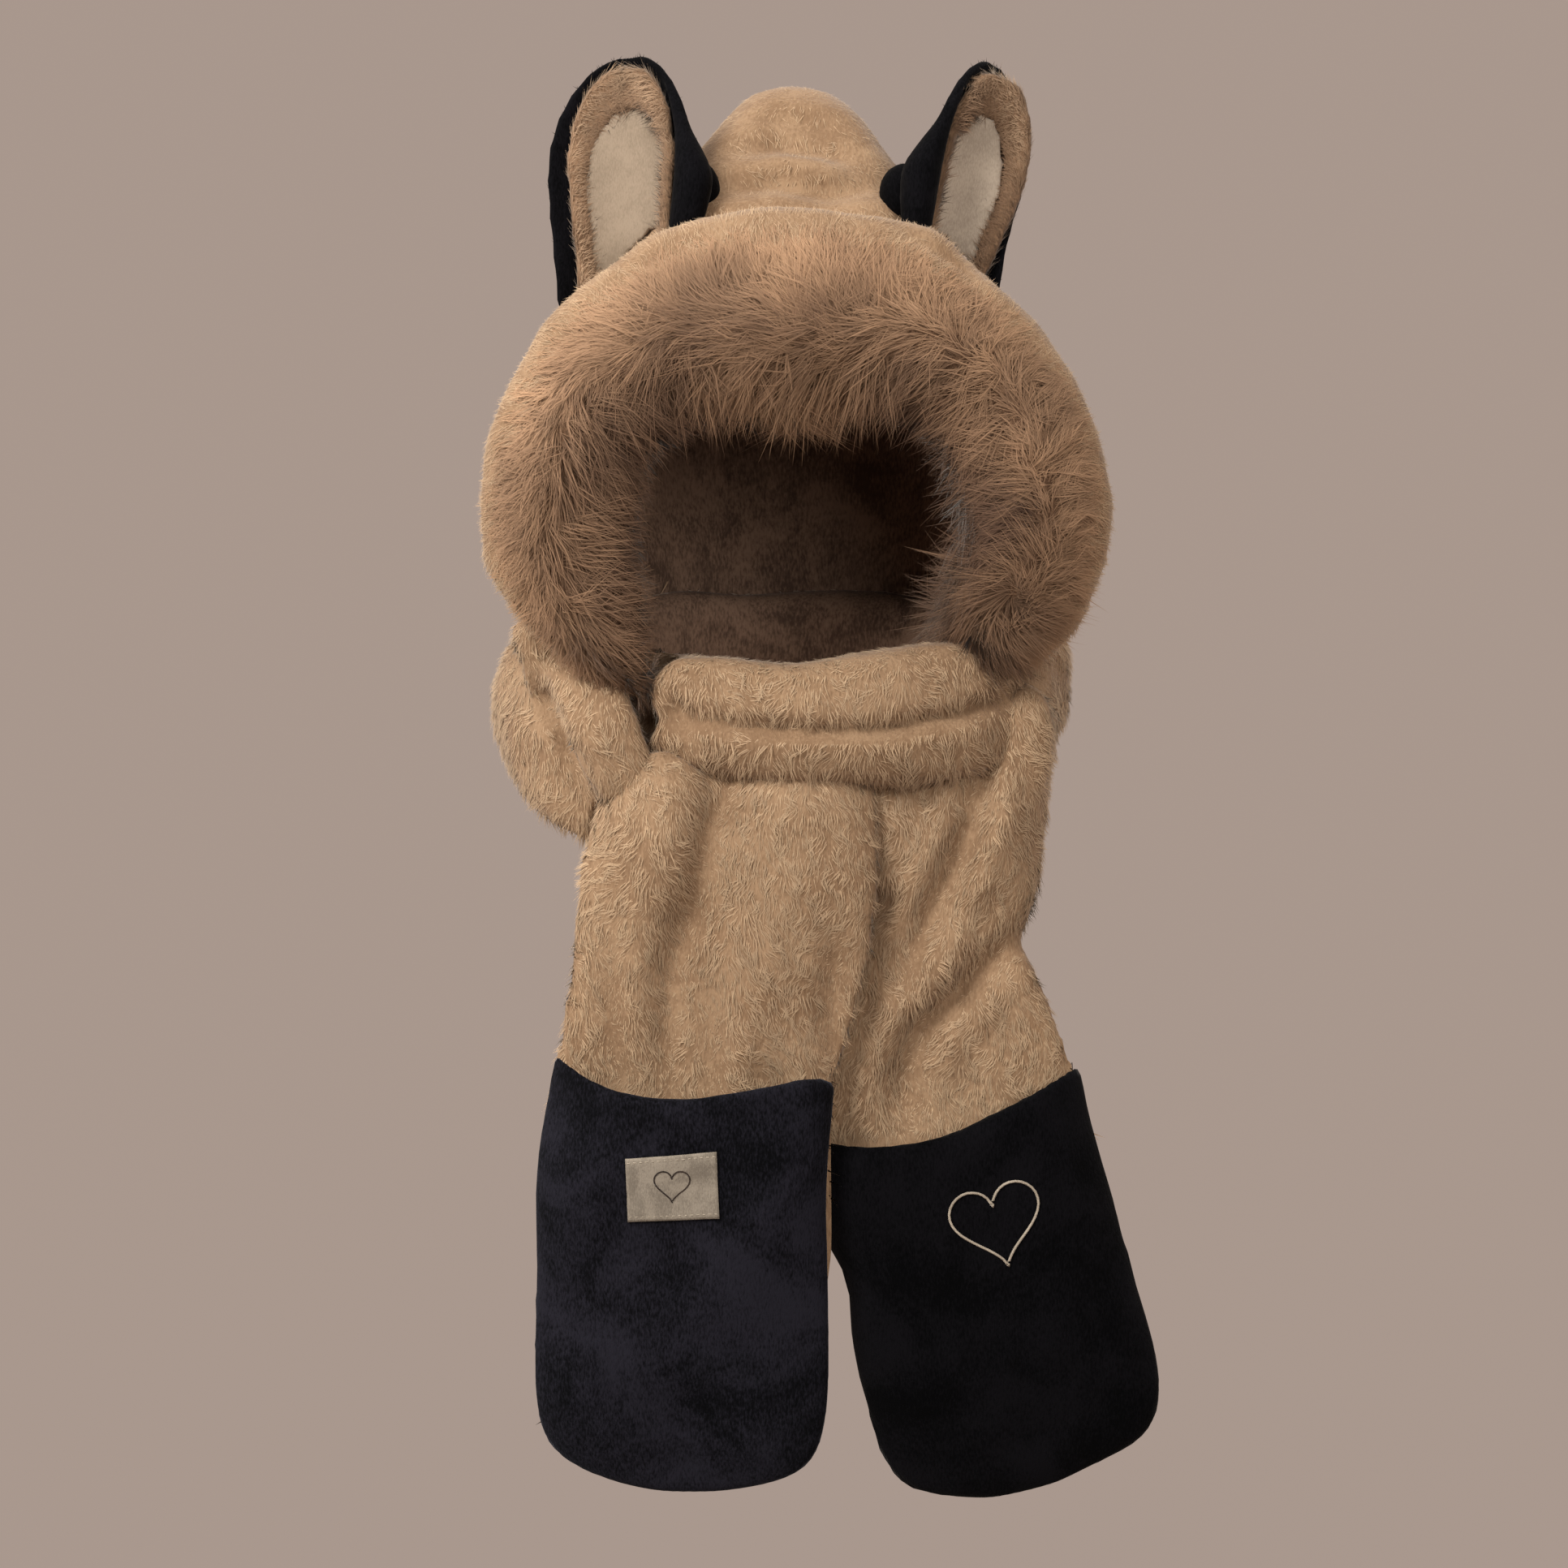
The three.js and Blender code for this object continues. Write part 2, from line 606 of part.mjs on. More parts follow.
function wrapBody(grow) {
	const section = loop(wrap.around, wrap.roundness);
	const rings = [];
	for (let i = 0; i < wrap.steps; i++) {
		const { middle, out, half, height } = wrapFrame((i * 360) / wrap.steps);
		rings.push(
			section.map(({ across, up }) => {
				const outer = across > 0 ? wrap.crease * bump(up - wrap.creaseAt, wrap.creaseWidth) : 0;
				const point = middle.clone();
				point.addScaledVector(out, across * (half + grow) - outer);
				point.z += up * (height + grow);
				return point;
			}),
		);
	}
	return skinned(rings, true);
}

// The loose turn on the right of the neck.
function turnBody(grow) {
	const section = loop(turn.around, turn.roundness);
	const first = turnStations[0].at;
	const last = turnStations[turnStations.length - 1].at;
	const rings = [];
	for (let i = 0; i <= turn.steps; i++) {
		const degrees = lerp(first, last, i / turn.steps);
		const row = (column) => read(turnStations, column, degrees);
		const angle = rad(degrees);
		const out = vec(Math.cos(angle), Math.sin(angle) * turn.shallow, 0);
		const middle = out.clone().multiplyScalar(row('reach') * turn.reach);
		middle.z = -row('drop') * wrap.drop;
		const half = row('half') * turn.half + grow;
		const height = row('height') * turn.height + grow;
		rings.push(
			section.map(({ across, up }) => {
				const fold = across > 0 ? turn.fold * bump(up - turn.foldAt, turn.foldWidth) : 0;
				const point = middle.clone().addScaledVector(out, across * half - fold);
				point.z += up * height;
				return point;
			}),
		);
	}
	return skinned(rings);
}

// Steps that come closer together towards a tail's rounded end.
const towardsEnd = (t) => Math.sin((t * Math.PI) / 2);

function foldDepth(folds, across, down) {
	return folds.reduce((sum, fold) => {
		const t = (down - fold.from) / (fold.to - fold.from);
		if (t <= 0 || t >= 1) return sum;
		const middle = lerp(fold.fromAcross, fold.toAcross, t);
		const fade = Math.sqrt(Math.sin(Math.PI * t));
		return sum + fold.depth * tail.thick * fade * bump(across - middle, fold.width);
	}, 0);
}

// Middle surface of a tail: place across from -1 to 1, and share of its length.
// `half` is half the thickness there, and `fold` how far the front is pressed in.
function tailAt(which, across, down) {
	const row = (column) => read(which.stations, column, down);
	const lean = rad(row('lean'));
	const reach = across * row('wide') * tail.half * which.place.width;
	const point = vec(
		which.place.side + row('side') * tail.half + reach * Math.cos(lean),
		-which.place.forward - (row('forward') - row('curl') * across ** 2) * tail.half,
		-tail.top - down * which.place.length + reach * Math.sin(lean),
	);
	const edge = Math.max(1 - Math.abs(across) ** 4, tail.leastEdge) ** 0.5;
	const half = row('thick') * tail.thick * edge;
	return { point, half, fold: foldDepth(which.folds, across, down) };
}

const tailRows = Array.from({ length: tail.along + 1 }, (_, i) => towardsEnd(i / tail.along));
const tailColumns = Array.from({ length: tail.across + 1 }, (_, j) =>
	Math.sin(((j / tail.across) * 2 - 1) * (Math.PI / 2)),
);

function tailBody(which, grow) {
	const rings = [];
	for (const down of tailRows) {
		const front = [];
		const back = [];
		for (const across of tailColumns) {
			const { point, half, fold } = tailAt(which, across, down);
			const wider = across * grow;
			front.push(vec(point.x + wider, point.y - half - grow + fold, point.z));
			back.push(vec(point.x + wider, point.y + half + grow + fold * tail.backFold, point.z));
		}
		rings.push([...front, ...back.reverse()]);
	}
	return skinned(rings);
}

// Where a pocket's mouth is, as a share of the tail's length.
function mouthAt(which, across) {
	const dip = (read(which.mouth, 'dip', across) * pocket.mouthDip) / which.place.length;
	return read(which.mouth, 'down', across) + dip;
}

// Front panel of a pocket over a tail's end, sewn down at its sides and foot.
function pocketSurface(which, across, down) {
	const mouth = mouthAt(which, across);
	const share = (down - mouth) / (1 - mouth);
	const { point, half, fold } = tailAt(which, across, down);
	const rise = pocket.depth * (1 - across ** 4) * (1 - share ** 5) * lerp(1, pocket.footDepth, share);
	point.y += fold - half - pocket.stitch - rise;
	return point;
}

// The pocket has the tail's own rows below its mouth.
function pocketBody(which) {
	const highest = Math.min(...tailColumns.map((across) => mouthAt(which, across)));
	const rows = [highest, ...tailRows.filter((row) => row > highest)];
	const sideAt = (row, i, offset) =>
		tailColumns.map((across) => {
			const lip = mouthAt(which, across) + i * pocket.lip;
			const point = pocketSurface(which, across, i ? Math.max(row, lip) : lip);
			point.y -= offset;
			return point;
		});
	const rings = rows.map((row, i) => [
		...sideAt(row, i, 0),
		...sideAt(row, i, pocket.wall).reverse(),
	]);
	return skinned(rings);
}

function labelBody(which) {
	const rings = [];
	for (let i = 0; i <= label.rows; i++) {
		const side = (offset) =>
			Array.from({ length: label.columns + 1 }, (_, j) => {
				const x = label.side + label.width * (j / label.columns - 0.5);
				const z = label.drop + label.height * (i / label.rows - 0.5);
				const wide = tail.half * which.place.width;
				const point = pocketSurface(which, x / wide, z / which.place.length);
				point.y -= pocket.wall + 2 * seam + offset;
				return point;
			});
		rings.push([...side(label.thick), ...side(0).reverse()]);
	}
	return skinned(rings);
}

// Middle surface of an ear: u from its inner edge to its outer edge, v from the
// root to the tip. The normal looks to the back.
function earSurface({ side, out, turnOut, lean, width }) {
	const yaw = rad(turnOut) * side;
	const facing = vec(Math.sin(yaw), -Math.cos(yaw), 0);
	const up = vec(Math.sin(rad(lean)) * side, Math.sin(rad(ear.tiltBack)), 1).normalize();
	const outward = vec(0, 0, 0).crossVectors(facing, up).multiplyScalar(-side).normalize();
	const bend = rad(ear.bend);
	const at = (u, v) => {
		const wide = read(earLevels, 'wide', v) * ear.half * width;
		const cup = read(earLevels, 'cup', v) * ear.cup;
		const point = vec(side * out, -ear.forward, -ear.seat);
		point.addScaledVector(up, v * ear.height);
		point.addScaledVector(outward, (wide * Math.sin(u * bend)) / Math.sin(bend));
		return point.addScaledVector(facing, (cup * (1 - Math.cos(u * bend))) / (1 - Math.cos(bend)));
	};
	return (u, v) => {
		const step = 0.01;
		const point = at(u, v);
		const alongU = at(u + step, v).sub(point);
		const alongV = at(u, v + step).sub(point);
		const normal = alongU.cross(alongV).normalize();
		if (normal.dot(facing) > 0) normal.negate();
		return { point, normal };
	};
}

// The black fold gathered along the lower half of an ear's inner edge.
function earGather(surface, side, grow) {
	const rings = gatherLevels.map(({ at, radius, inward }) => {
		const { point } = surface(ear.gatherAt, at);
		point.x -= side * inward * ear.gather;
		const reach = radius * ear.gather + grow;
		return loop(ear.gatherSteps, 2).map(({ across, up }) =>
			vec(point.x + across * reach, point.y + up * reach, point.z),
		);
	});
	return skinned(rings);
}

function earPieces(which, cutters) {
	const surface = earSurface(which);
	const rows = earLevels.map((row) => row.at);
	const edges = () => [-1, 1];
	const inside = () => [-ear.rim, ear.rim];
	const reach = (inset) => (v) => [
		-read(panelLevels, 'inner', v) + inset,
		read(panelLevels, 'outer', v) - inset,
	];
	const panelRows = panelLevels.map((row) => row.at);
	const tight = (2 * seam) / ear.half;
	const slotRows = [panelRows[0] - tight, ...panelRows.slice(1, -1), panelRows.at(-1) + tight];
	const gather = (grow) => earGather(surface, which.side, grow);
	const pile = -seam - ear.pile;
	const back = sheet(surface, rows, 8, edges, 0, ear.backing).add(gather(0));
	const front = sheet(surface, rows.slice(0, -1), 6, inside, -seam, pile);
	const slot = sheet(surface, slotRows, 4, reach(-tight), seam, pile - ear.gap);
	const panel = sheet(surface, panelRows, 4, reach(0), -ear.gap, -ear.gap - ear.panel);
	return {
		back: trimmed(back, ...cutters),
		band: trimmed(front, slot, gather(seam), ...cutters),
		panel: trimmed(panel, gather(seam), ...cutters),
	};
}

const plush = (color, roughness) =>
	new THREE.MeshStandardMaterial({ color, roughness, metalness: 0 });
const tan = plush(0xc9a27b, 0.95);
const brown = plush(0xa67f5f, 0.95);
const black = plush(0x17171a, 0.9);
const cream = plush(0xd8c9b4, 0.9);
const tape = plush(0xcfc5b2, 0.8);

const left = {
	place: leftTail,
	stations: leftStations,
	folds: leftFolds,
	mouth: leftMouth,
};
const right = {
	place: rightTail,
	stations: rightStations,
	folds: rightFolds,
	mouth: rightMouth,
};

// A box that fills the space on one side of the hood's middle.
function halfSpace(side) {
	const size = 4 * crown.drop;
	const box = new THREE.BoxGeometry(size, size, size);
	box.translate((side * size) / 2, 0, 0);
	return solid(box);
}

const brimEnvelope = brimBody(() => seam, seam);
const wrapEnvelope = wrapBody(seam);
const crownEnvelope = crownBody(seam, crown.levels, seam);
const leftTailEnvelope = tailBody(left, seam);

// The wrap passes behind the brim's end on one side, and over it on the other.
const wrapOver = wrapEnvelope.intersect(halfSpace(1));
const brimOver = brimEnvelope.intersect(halfSpace(-1));
const neckWrap = trimmed(wrapBody(0), brimOver);

const crownShell = (grow) => {
	const inside = crownBody(-crown.wall - grow, crown.levelsInside, crown.wall);
	return crownBody(grow, crown.levels, grow).subtract(inside).subtract(faceCutter(grow));
};
const hoodCrown = trimmed(crownShell(0), brimEnvelope, wrapEnvelope);
const hoodBrim = trimmed(brimBody((u) => -furSeat(u)), wrapOver);
const brimTrim = trimmed(furTrim(), wrapEnvelope, crownShell(seam));
const leftTailBody = trimmed(tailBody(left, 0), wrapEnvelope, brimEnvelope);
const rightTailBody = trimmed(tailBody(right, 0), wrapEnvelope, leftTailEnvelope);
const looseTurn = trimmed(turnBody(0), wrapEnvelope, brimEnvelope, leftTailEnvelope, crownEnvelope);
const rightPocket = trimmed(pocketBody(right), leftTailEnvelope);

const hoodScarf = new THREE.Group();
hoodScarf.add(
	mesh('hood_crown', hoodCrown, tan),
	mesh('hood_brim', hoodBrim, tan),
	mesh('fur_trim', brimTrim, brown),
	mesh('neck_wrap', neckWrap, tan),
	mesh('loose_turn', looseTurn, tan),
	mesh('scarf_tail_left', leftTailBody, tan),
	mesh('scarf_tail_right', rightTailBody, tan),
	mesh('pocket_left', pocketBody(left), black),
	mesh('pocket_right', rightPocket, black),
	mesh('pocket_label', labelBody(left), tape),
);

for (const which of ears) {
	const { back, band, panel } = earPieces(which, [crownEnvelope, brimEnvelope]);
	hoodScarf.add(
		mesh(`ear_back_${which.name}`, back, black),
		mesh(`ear_band_${which.name}`, band, tan),
		mesh(`ear_panel_${which.name}`, panel, cream),
	);
}

export default hoodScarf;
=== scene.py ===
import math

import bmesh
import bpy
import numpy as np
from mathutils import Matrix, Vector, kdtree


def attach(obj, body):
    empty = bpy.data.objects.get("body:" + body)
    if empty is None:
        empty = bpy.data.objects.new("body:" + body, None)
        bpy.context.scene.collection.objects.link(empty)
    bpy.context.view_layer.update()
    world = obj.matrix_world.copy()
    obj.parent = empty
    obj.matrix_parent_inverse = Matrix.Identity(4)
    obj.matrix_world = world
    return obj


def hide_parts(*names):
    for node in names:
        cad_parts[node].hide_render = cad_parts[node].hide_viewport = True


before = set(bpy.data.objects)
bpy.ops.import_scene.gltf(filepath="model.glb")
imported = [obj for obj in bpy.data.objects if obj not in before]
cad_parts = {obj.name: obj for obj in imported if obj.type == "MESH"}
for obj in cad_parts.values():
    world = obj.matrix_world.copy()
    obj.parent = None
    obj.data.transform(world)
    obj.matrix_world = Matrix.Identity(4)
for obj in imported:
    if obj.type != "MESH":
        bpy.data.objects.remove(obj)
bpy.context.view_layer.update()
print("frame loaded")

mm = 0.001

# camera, light and floor

camera = {
    "target": (-5.3, -105.0, -410.9),
    "elevation": 4.0,
    "distance": 2400.0,
    "span": 927.4,  # what the frame spans at the target
    "sensor": 36.0,
}

studio = {
    "floorDrop": 960.0,
    "floorRadius": 4000.0,
    "sweep": 1500.0,
    "sweepSteps": 8,
    "turnSteps": 72,
    "wall": 5000.0,
    "base": (0.004, 0.003, 0.003, 1.0),
    "colour": (0.392, 0.310, 0.266, 1.0),
    "worldGlow": 0.5,
    "frontGlow": 0.4,  # the half behind the camera glows less
    "glowRise": (-3500.0, -500.0),  # where along Y the glow rises to its whole strength
}
weldGap = 1e-5  # in metres

# place and size in mm, power in watts
lamps = [
    {"name": "keyLight", "place": (-1300, -1900, 1100), "size": 1100, "power": 79, "tint": (1.0, 0.98, 0.95)},
    {"name": "sideLight", "place": (-2200, -300, 200), "size": 1000, "power": 26, "tint": (1.0, 0.98, 0.95)},
    {"name": "fillLight", "place": (900, -2400, 300), "size": 1500, "power": 32, "tint": (1.0, 0.97, 0.94)},
    {"name": "topLight", "place": (-100, 100, 1700), "size": 1500, "power": 20, "tint": (1.0, 0.98, 0.95)},
    {"name": "rimRight", "place": (1900, 1100, 300), "size": 1100, "power": 10, "tint": (1.0, 0.97, 0.94)},
]


def addObject(name, data):
    made = bpy.data.objects.new(name, data)
    bpy.context.scene.collection.objects.link(made)
    return made


def addNode(tree, kind, sockets=None, **settings):
    made = tree.nodes.new(kind)
    for name, value in settings.items():
        setattr(made, name, value)
    for name, value in (sockets or {}).items():
        if isinstance(value, bpy.types.NodeSocket):
            tree.links.new(value, made.inputs[name])
        else:
            made.inputs[name].default_value = value
    return made


def newMaterial(name):
    material = bpy.data.materials.new(name)
    material.use_nodes = True
    material.node_tree.nodes.clear()
    return material, material.node_tree


def addSurface(tree, sockets):
    shader = addNode(tree, "ShaderNodeBsdfPrincipled", sockets)
    addNode(tree, "ShaderNodeOutputMaterial", {"Surface": shader.outputs[0]})


def newMesh(name, bm):
    mesh = bpy.data.meshes.new(name)
    bm.to_mesh(mesh)
    bm.free()
    mesh.shade_smooth()
    return mesh


def buildCamera():
    data = bpy.data.cameras.new("camera")
    data.sensor_width = camera["sensor"]
    data.lens = camera["sensor"] * camera["distance"] / camera["span"]
    data.clip_end = 30
    made = addObject("camera", data)
    tilt = math.radians(camera["elevation"])
    back = Vector((0, -math.cos(tilt), math.sin(tilt)))
    made.location = (Vector(camera["target"]) + back * camera["distance"]) * mm
    made.rotation_euler = (math.pi / 2 - tilt, 0, 0)
    bpy.context.scene.camera = made


def floorMaterial():
    material, tree = newMaterial("paleFloor")
    place = addNode(tree, "ShaderNodeTexCoord")
    split = addNode(tree, "ShaderNodeSeparateXYZ", {"Vector": place.outputs["Object"]})
    start, end = studio["glowRise"]
    glow = addNode(tree, "ShaderNodeMapRange", {
        "Value": split.outputs["Y"], "From Min": start * mm, "From Max": end * mm,
        "To Min": studio["frontGlow"], "To Max": 1.0,
    })
    pale = addNode(
        tree, "ShaderNodeVectorMath", {0: studio["colour"][:3], "Scale": glow.outputs[0]}, operation="SCALE",
    )
    addSurface(tree, {
        "Base Color": studio["base"],
        "Roughness": 1.0,
        "Specular IOR Level": 0.0,
        "Emission Color": pale.outputs[0],
        "Emission Strength": 1.0,
    })
    return material


def buildFloor():
    # a round floor that sweeps up into a wall
    radius, sweep, steps = studio["floorRadius"], studio["sweep"], studio["sweepSteps"]
    profile = [(0, 0), (radius, 0)]
    for step in range(1, steps + 1):
        angle = step / steps * math.pi / 2
        profile.append((radius + sweep * math.sin(angle), sweep * (1 - math.cos(angle))))
    profile.append((radius + sweep, studio["wall"]))
    bm = bmesh.new()
    corners = [bm.verts.new((x * mm, 0, (z - studio["floorDrop"]) * mm)) for x, z in profile]
    edges = [bm.edges.new(pair) for pair in zip(corners, corners[1:])]
    bmesh.ops.spin(
        bm, geom=corners + edges, cent=(0, 0, 0), axis=(0, 0, 1), angle=2 * math.pi,
        steps=studio["turnSteps"], use_merge=True,
    )
    bmesh.ops.remove_doubles(bm, verts=bm.verts, dist=weldGap)
    bmesh.ops.recalc_face_normals(bm, faces=bm.faces)
    bmesh.ops.reverse_faces(bm, faces=bm.faces)
    floor = addObject("floor", newMesh("floor", bm))
    floor.data.materials.append(floorMaterial())


def buildLight():
    world = bpy.data.worlds.new("studioWorld")
    bpy.context.scene.world = world
    world.use_nodes = True
    world.node_tree.nodes["Background"].inputs["Color"].default_value = studio["colour"]
    world.node_tree.nodes["Background"].inputs["Strength"].default_value = studio["worldGlow"]
    target = Vector(camera["target"]) * mm
    for lamp in lamps:
        data = bpy.data.lights.new(lamp["name"], "AREA")
        data.shape = "DISK"
        data.size = lamp["size"] * mm
        data.energy = lamp["power"]
        data.color = lamp["tint"]
        made = addObject(lamp["name"], data)
        made.location = Vector(lamp["place"]) * mm
        made.rotation_euler = (target - made.location).to_track_quat("-Z", "Y").to_euler()
    bpy.context.scene.view_settings.view_transform = "Standard"


buildCamera()
buildFloor()
buildLight()
print("camera, light and floor done")


# cloth effects

def addSockets(tree, kind, *names, way="INPUT"):
    for name in names:
        tree.interface.new_socket(name=name, in_out=way, socket_type=kind)


def addMath(tree, operation, *values):
    return addNode(tree, "ShaderNodeMath", dict(enumerate(values)), operation=operation).outputs[0]


def addMix(tree, factor, low, high):
    mixed = addNode(tree, "ShaderNodeMix", {"Factor": factor}, data_type="RGBA")
    tree.links.new(low, mixed.inputs["A"])
    tree.links.new(high, mixed.inputs["B"])
    return mixed.outputs["Result"]


def buildPileColour():
    # hair colour from root to tip, the darker root being painted shade at the hair's foot; finer strands
    # across each hair, a shade for each hair, and patches where the nap turns; "brown" leads from the first
    # pair of colours to the second: the fur's own brown, and painted shade
    tree = bpy.data.node_groups.new("pileColour", "ShaderNodeTree")
    addSockets(tree, "NodeSocketColor", "Root", "Tip", "Brown Root", "Brown Tip")
    addSockets(tree, "NodeSocketFloat", "Patch Scale", "Patch Depth", "Hair Depth", "Strand Depth")
    addSockets(tree, "NodeSocketColor", "Colour", way="OUTPUT")
    given = addNode(tree, "NodeGroupInput").outputs
    tone, shade, across, brown = (
        addNode(tree, "ShaderNodeAttribute", attribute_name=name).outputs["Fac"]
        for name in ("tone", "shade", "across", "brown")
    )
    place = addNode(tree, "ShaderNodeTexCoord")
    root = addMix(tree, brown, given["Root"], given["Brown Root"])
    tip = addMix(tree, brown, given["Tip"], given["Brown Tip"])
    along = addMix(tree, tone, root, tip)
    patches = addNode(tree, "ShaderNodeTexNoise", {
        "Vector": place.outputs["Object"], "Scale": given["Patch Scale"], "Detail": 3.0, "Roughness": 0.55,
    })
    strandCount, hairSpread = 4.5, 97.0
    hairPlace = addMath(tree, "MULTIPLY_ADD", shade, hairSpread, 0.0)
    strandPlace = addMath(tree, "MULTIPLY_ADD", across, strandCount, hairPlace)
    strands = addNode(
        tree, "ShaderNodeTexNoise", {"W": strandPlace, "Scale": 1.0, "Detail": 1.0}, noise_dimensions="1D",
    )
    total = 1.0
    for value, depth in (
        (patches.outputs["Fac"], "Patch Depth"), (shade, "Hair Depth"),
        (strands.outputs["Fac"], "Strand Depth"),
    ):
        centred = addMath(tree, "SUBTRACT", value, 0.5)
        total = addMath(tree, "MULTIPLY_ADD", centred, given[depth], total)
    tinted = addNode(tree, "ShaderNodeVectorMath", {0: along, "Scale": total}, operation="SCALE")
    addNode(tree, "NodeGroupOutput", {"Colour": tinted.outputs[0]})
    return tree


def buildNapSurface():
    # the cloth under the hair: blotches of colour, and a fine nap for the bump
    tree = bpy.data.node_groups.new("napSurface", "ShaderNodeTree")
    addSockets(tree, "NodeSocketColor", "Dark", "Light")
    addSockets(tree, "NodeSocketFloat", "Blotch Scale", "Nap Scale")
    addSockets(tree, "NodeSocketColor", "Colour", way="OUTPUT")
    addSockets(tree, "NodeSocketFloat", "Height", way="OUTPUT")
    given = addNode(tree, "NodeGroupInput").outputs
    place = addNode(tree, "ShaderNodeTexCoord")
    blotches = addNode(tree, "ShaderNodeTexNoise", {
        "Vector": place.outputs["Object"], "Scale": given["Blotch Scale"], "Detail": 4.0,
        "Roughness": 0.6, "Distortion": 0.6,
    })
    stretched = addNode(tree, "ShaderNodeMapping", {
        "Vector": place.outputs["Object"], "Scale": (1.0, 1.0, 0.35),
    })
    nap = addNode(tree, "ShaderNodeTexNoise", {
        "Vector": stretched.outputs[0], "Scale": given["Nap Scale"], "Detail": 2.0, "Roughness": 0.6,
    })
    napShare = 0.7
    centred = addMath(tree, "ADD", nap.outputs["Fac"], -0.5)
    soft = addMath(tree, "MULTIPLY_ADD", centred, napShare, blotches.outputs["Fac"])
    steps = addNode(
        tree, "ShaderNodeMapRange", {"Value": soft, "From Min": 0.3, "From Max": 0.7},
        interpolation_type="SMOOTHSTEP",
    )
    colour = addMix(tree, steps.outputs[0], given["Dark"], given["Light"])
    addNode(tree, "NodeGroupOutput", {"Colour": colour, "Height": nap.outputs["Fac"]})
    return tree


pileColour = buildPileColour()
napSurface = buildNapSurface()


def colour(red, green, blue):
    # from the 0 to 255 scale to linear light
    def linear(value):
        value /= 255
        return value / 12.92 if value <= 0.04045 else ((value + 0.055) / 1.055) ** 2.4
    return (linear(red), linear(green), linear(blue), 1.0)


def pileMaterial(name, look, specular=0.25, sheen=0.15):
    plain = {
        "Brown Root": look["Root"], "Brown Tip": look["Tip"],
        "Strand Depth": 0.6, "Patch Scale": 14.0, "Patch Depth": 0.5, "Hair Depth": 0.4,
    }
    material, tree = newMaterial(name)
    hair = addNode(tree, "ShaderNodeGroup", {**plain, **look}, node_tree=pileColour)
    addSurface(tree, {
        "Base Color": hair.outputs["Colour"],
        "Roughness": 0.75,
        "Specular IOR Level": specular,
        "Sheen Weight": sheen,
        "Sheen Roughness": 0.5,
        "Sheen Tint": (1.0, 0.93, 0.85, 1.0),
    })
    return material


def clothMaterial(name, look, bump=0.6, roughness=0.9, specular=0.15, sheen=0.2, tint=(1.0, 0.95, 0.9, 1.0)):
    plain = {"Blotch Scale": 25.0, "Nap Scale": 700.0}
    material, tree = newMaterial(name)
    cloth = addNode(tree, "ShaderNodeGroup", {**plain, **look}, node_tree=napSurface)
    relief = addNode(tree, "ShaderNodeBump", {
        "Height": cloth.outputs["Height"], "Strength": bump, "Distance": 0.001,
    })
    addSurface(tree, {
        "Base Color": cloth.outputs["Colour"],
        "Roughness": roughness,
        "Specular IOR Level": specular,
        "Sheen Weight": sheen,
        "Sheen Roughness": 0.4,
        "Sheen Tint": tint,
        "Normal": relief.outputs[0],
    })
    return material


tanPile = pileMaterial("tanPile", {
    "Root": colour(146, 118, 90), "Tip": colour(197, 168, 135),
    "Brown Root": colour(98, 73, 54), "Brown Tip": colour(176, 142, 112),
    "Hair Depth": 0.4, "Strand Depth": 0.25, "Patch Depth": 0.45,
})
trimPile = pileMaterial("trimPile", {
    "Root": colour(140, 106, 77), "Tip": colour(188, 150, 116),
    "Brown Root": colour(66, 48, 36), "Brown Tip": colour(106, 79, 61),
    "Hair Depth": 0.5, "Strand Depth": 0.4, "Patch Depth": 0.6,
})
earPile = pileMaterial("earPile", {
    "Root": colour(138, 110, 84), "Tip": colour(198, 168, 136),
    "Brown Root": colour(84, 62, 46), "Brown Tip": colour(138, 108, 82),
    "Hair Depth": 0.35, "Strand Depth": 0.35, "Patch Depth": 0.6, "Patch Scale": 30.0,
})
blackPile = pileMaterial(
    "blackPile", {"Root": colour(3, 3, 4), "Tip": colour(13, 12, 13)}, specular=0.08, sheen=0.0,
)
tanCloth = clothMaterial("tanCloth", {
    "Dark": colour(128, 101, 76), "Light": colour(152, 124, 96), "Blotch Scale": 30.0, "Nap Scale": 600.0,
}, bump=0.9)
bandCloth = clothMaterial("bandCloth", {"Dark": colour(92, 70, 52), "Light": colour(132, 104, 80)})
trimCloth = clothMaterial("trimCloth", {"Dark": colour(82, 60, 44), "Light": colour(118, 90, 68)})
blackNap = {"Blotch Scale": 16.0, "Nap Scale": 900.0}
# the left pocket's copy of the same black plush as deepBlack, painted lighter and bluer: painted light and
# painted sheen over the nap's own mottling
blueBlack = clothMaterial(
    "blueBlack", {**blackNap, "Dark": colour(5, 5, 7), "Light": colour(31, 30, 37)},
    bump=0.5, specular=0.06, sheen=0.06, tint=(0.75, 0.8, 1.0, 1.0),
)
deepBlack = clothMaterial(
    "deepBlack", {**blackNap, "Dark": colour(2, 2, 3), "Light": colour(12, 11, 14)},
    bump=0.5, specular=0.05, sheen=0.03,
)
# one cream velvet in two copies: the left panel's is darker, painted shade, and the right panel's lighter,
# painted light, evening out the key lamp from the left
creamVelvetLitAndShaded = {
    "left": clothMaterial("creamVelvetLeft", {
        "Dark": colour(124, 109, 92), "Light": colour(142, 126, 108), "Nap Scale": 1400.0,
    }, bump=0.2),
    "right": clothMaterial("creamVelvetRight", {
        "Dark": colour(158, 144, 128), "Light": colour(184, 169, 151), "Nap Scale": 1400.0,
    }, bump=0.2),
}
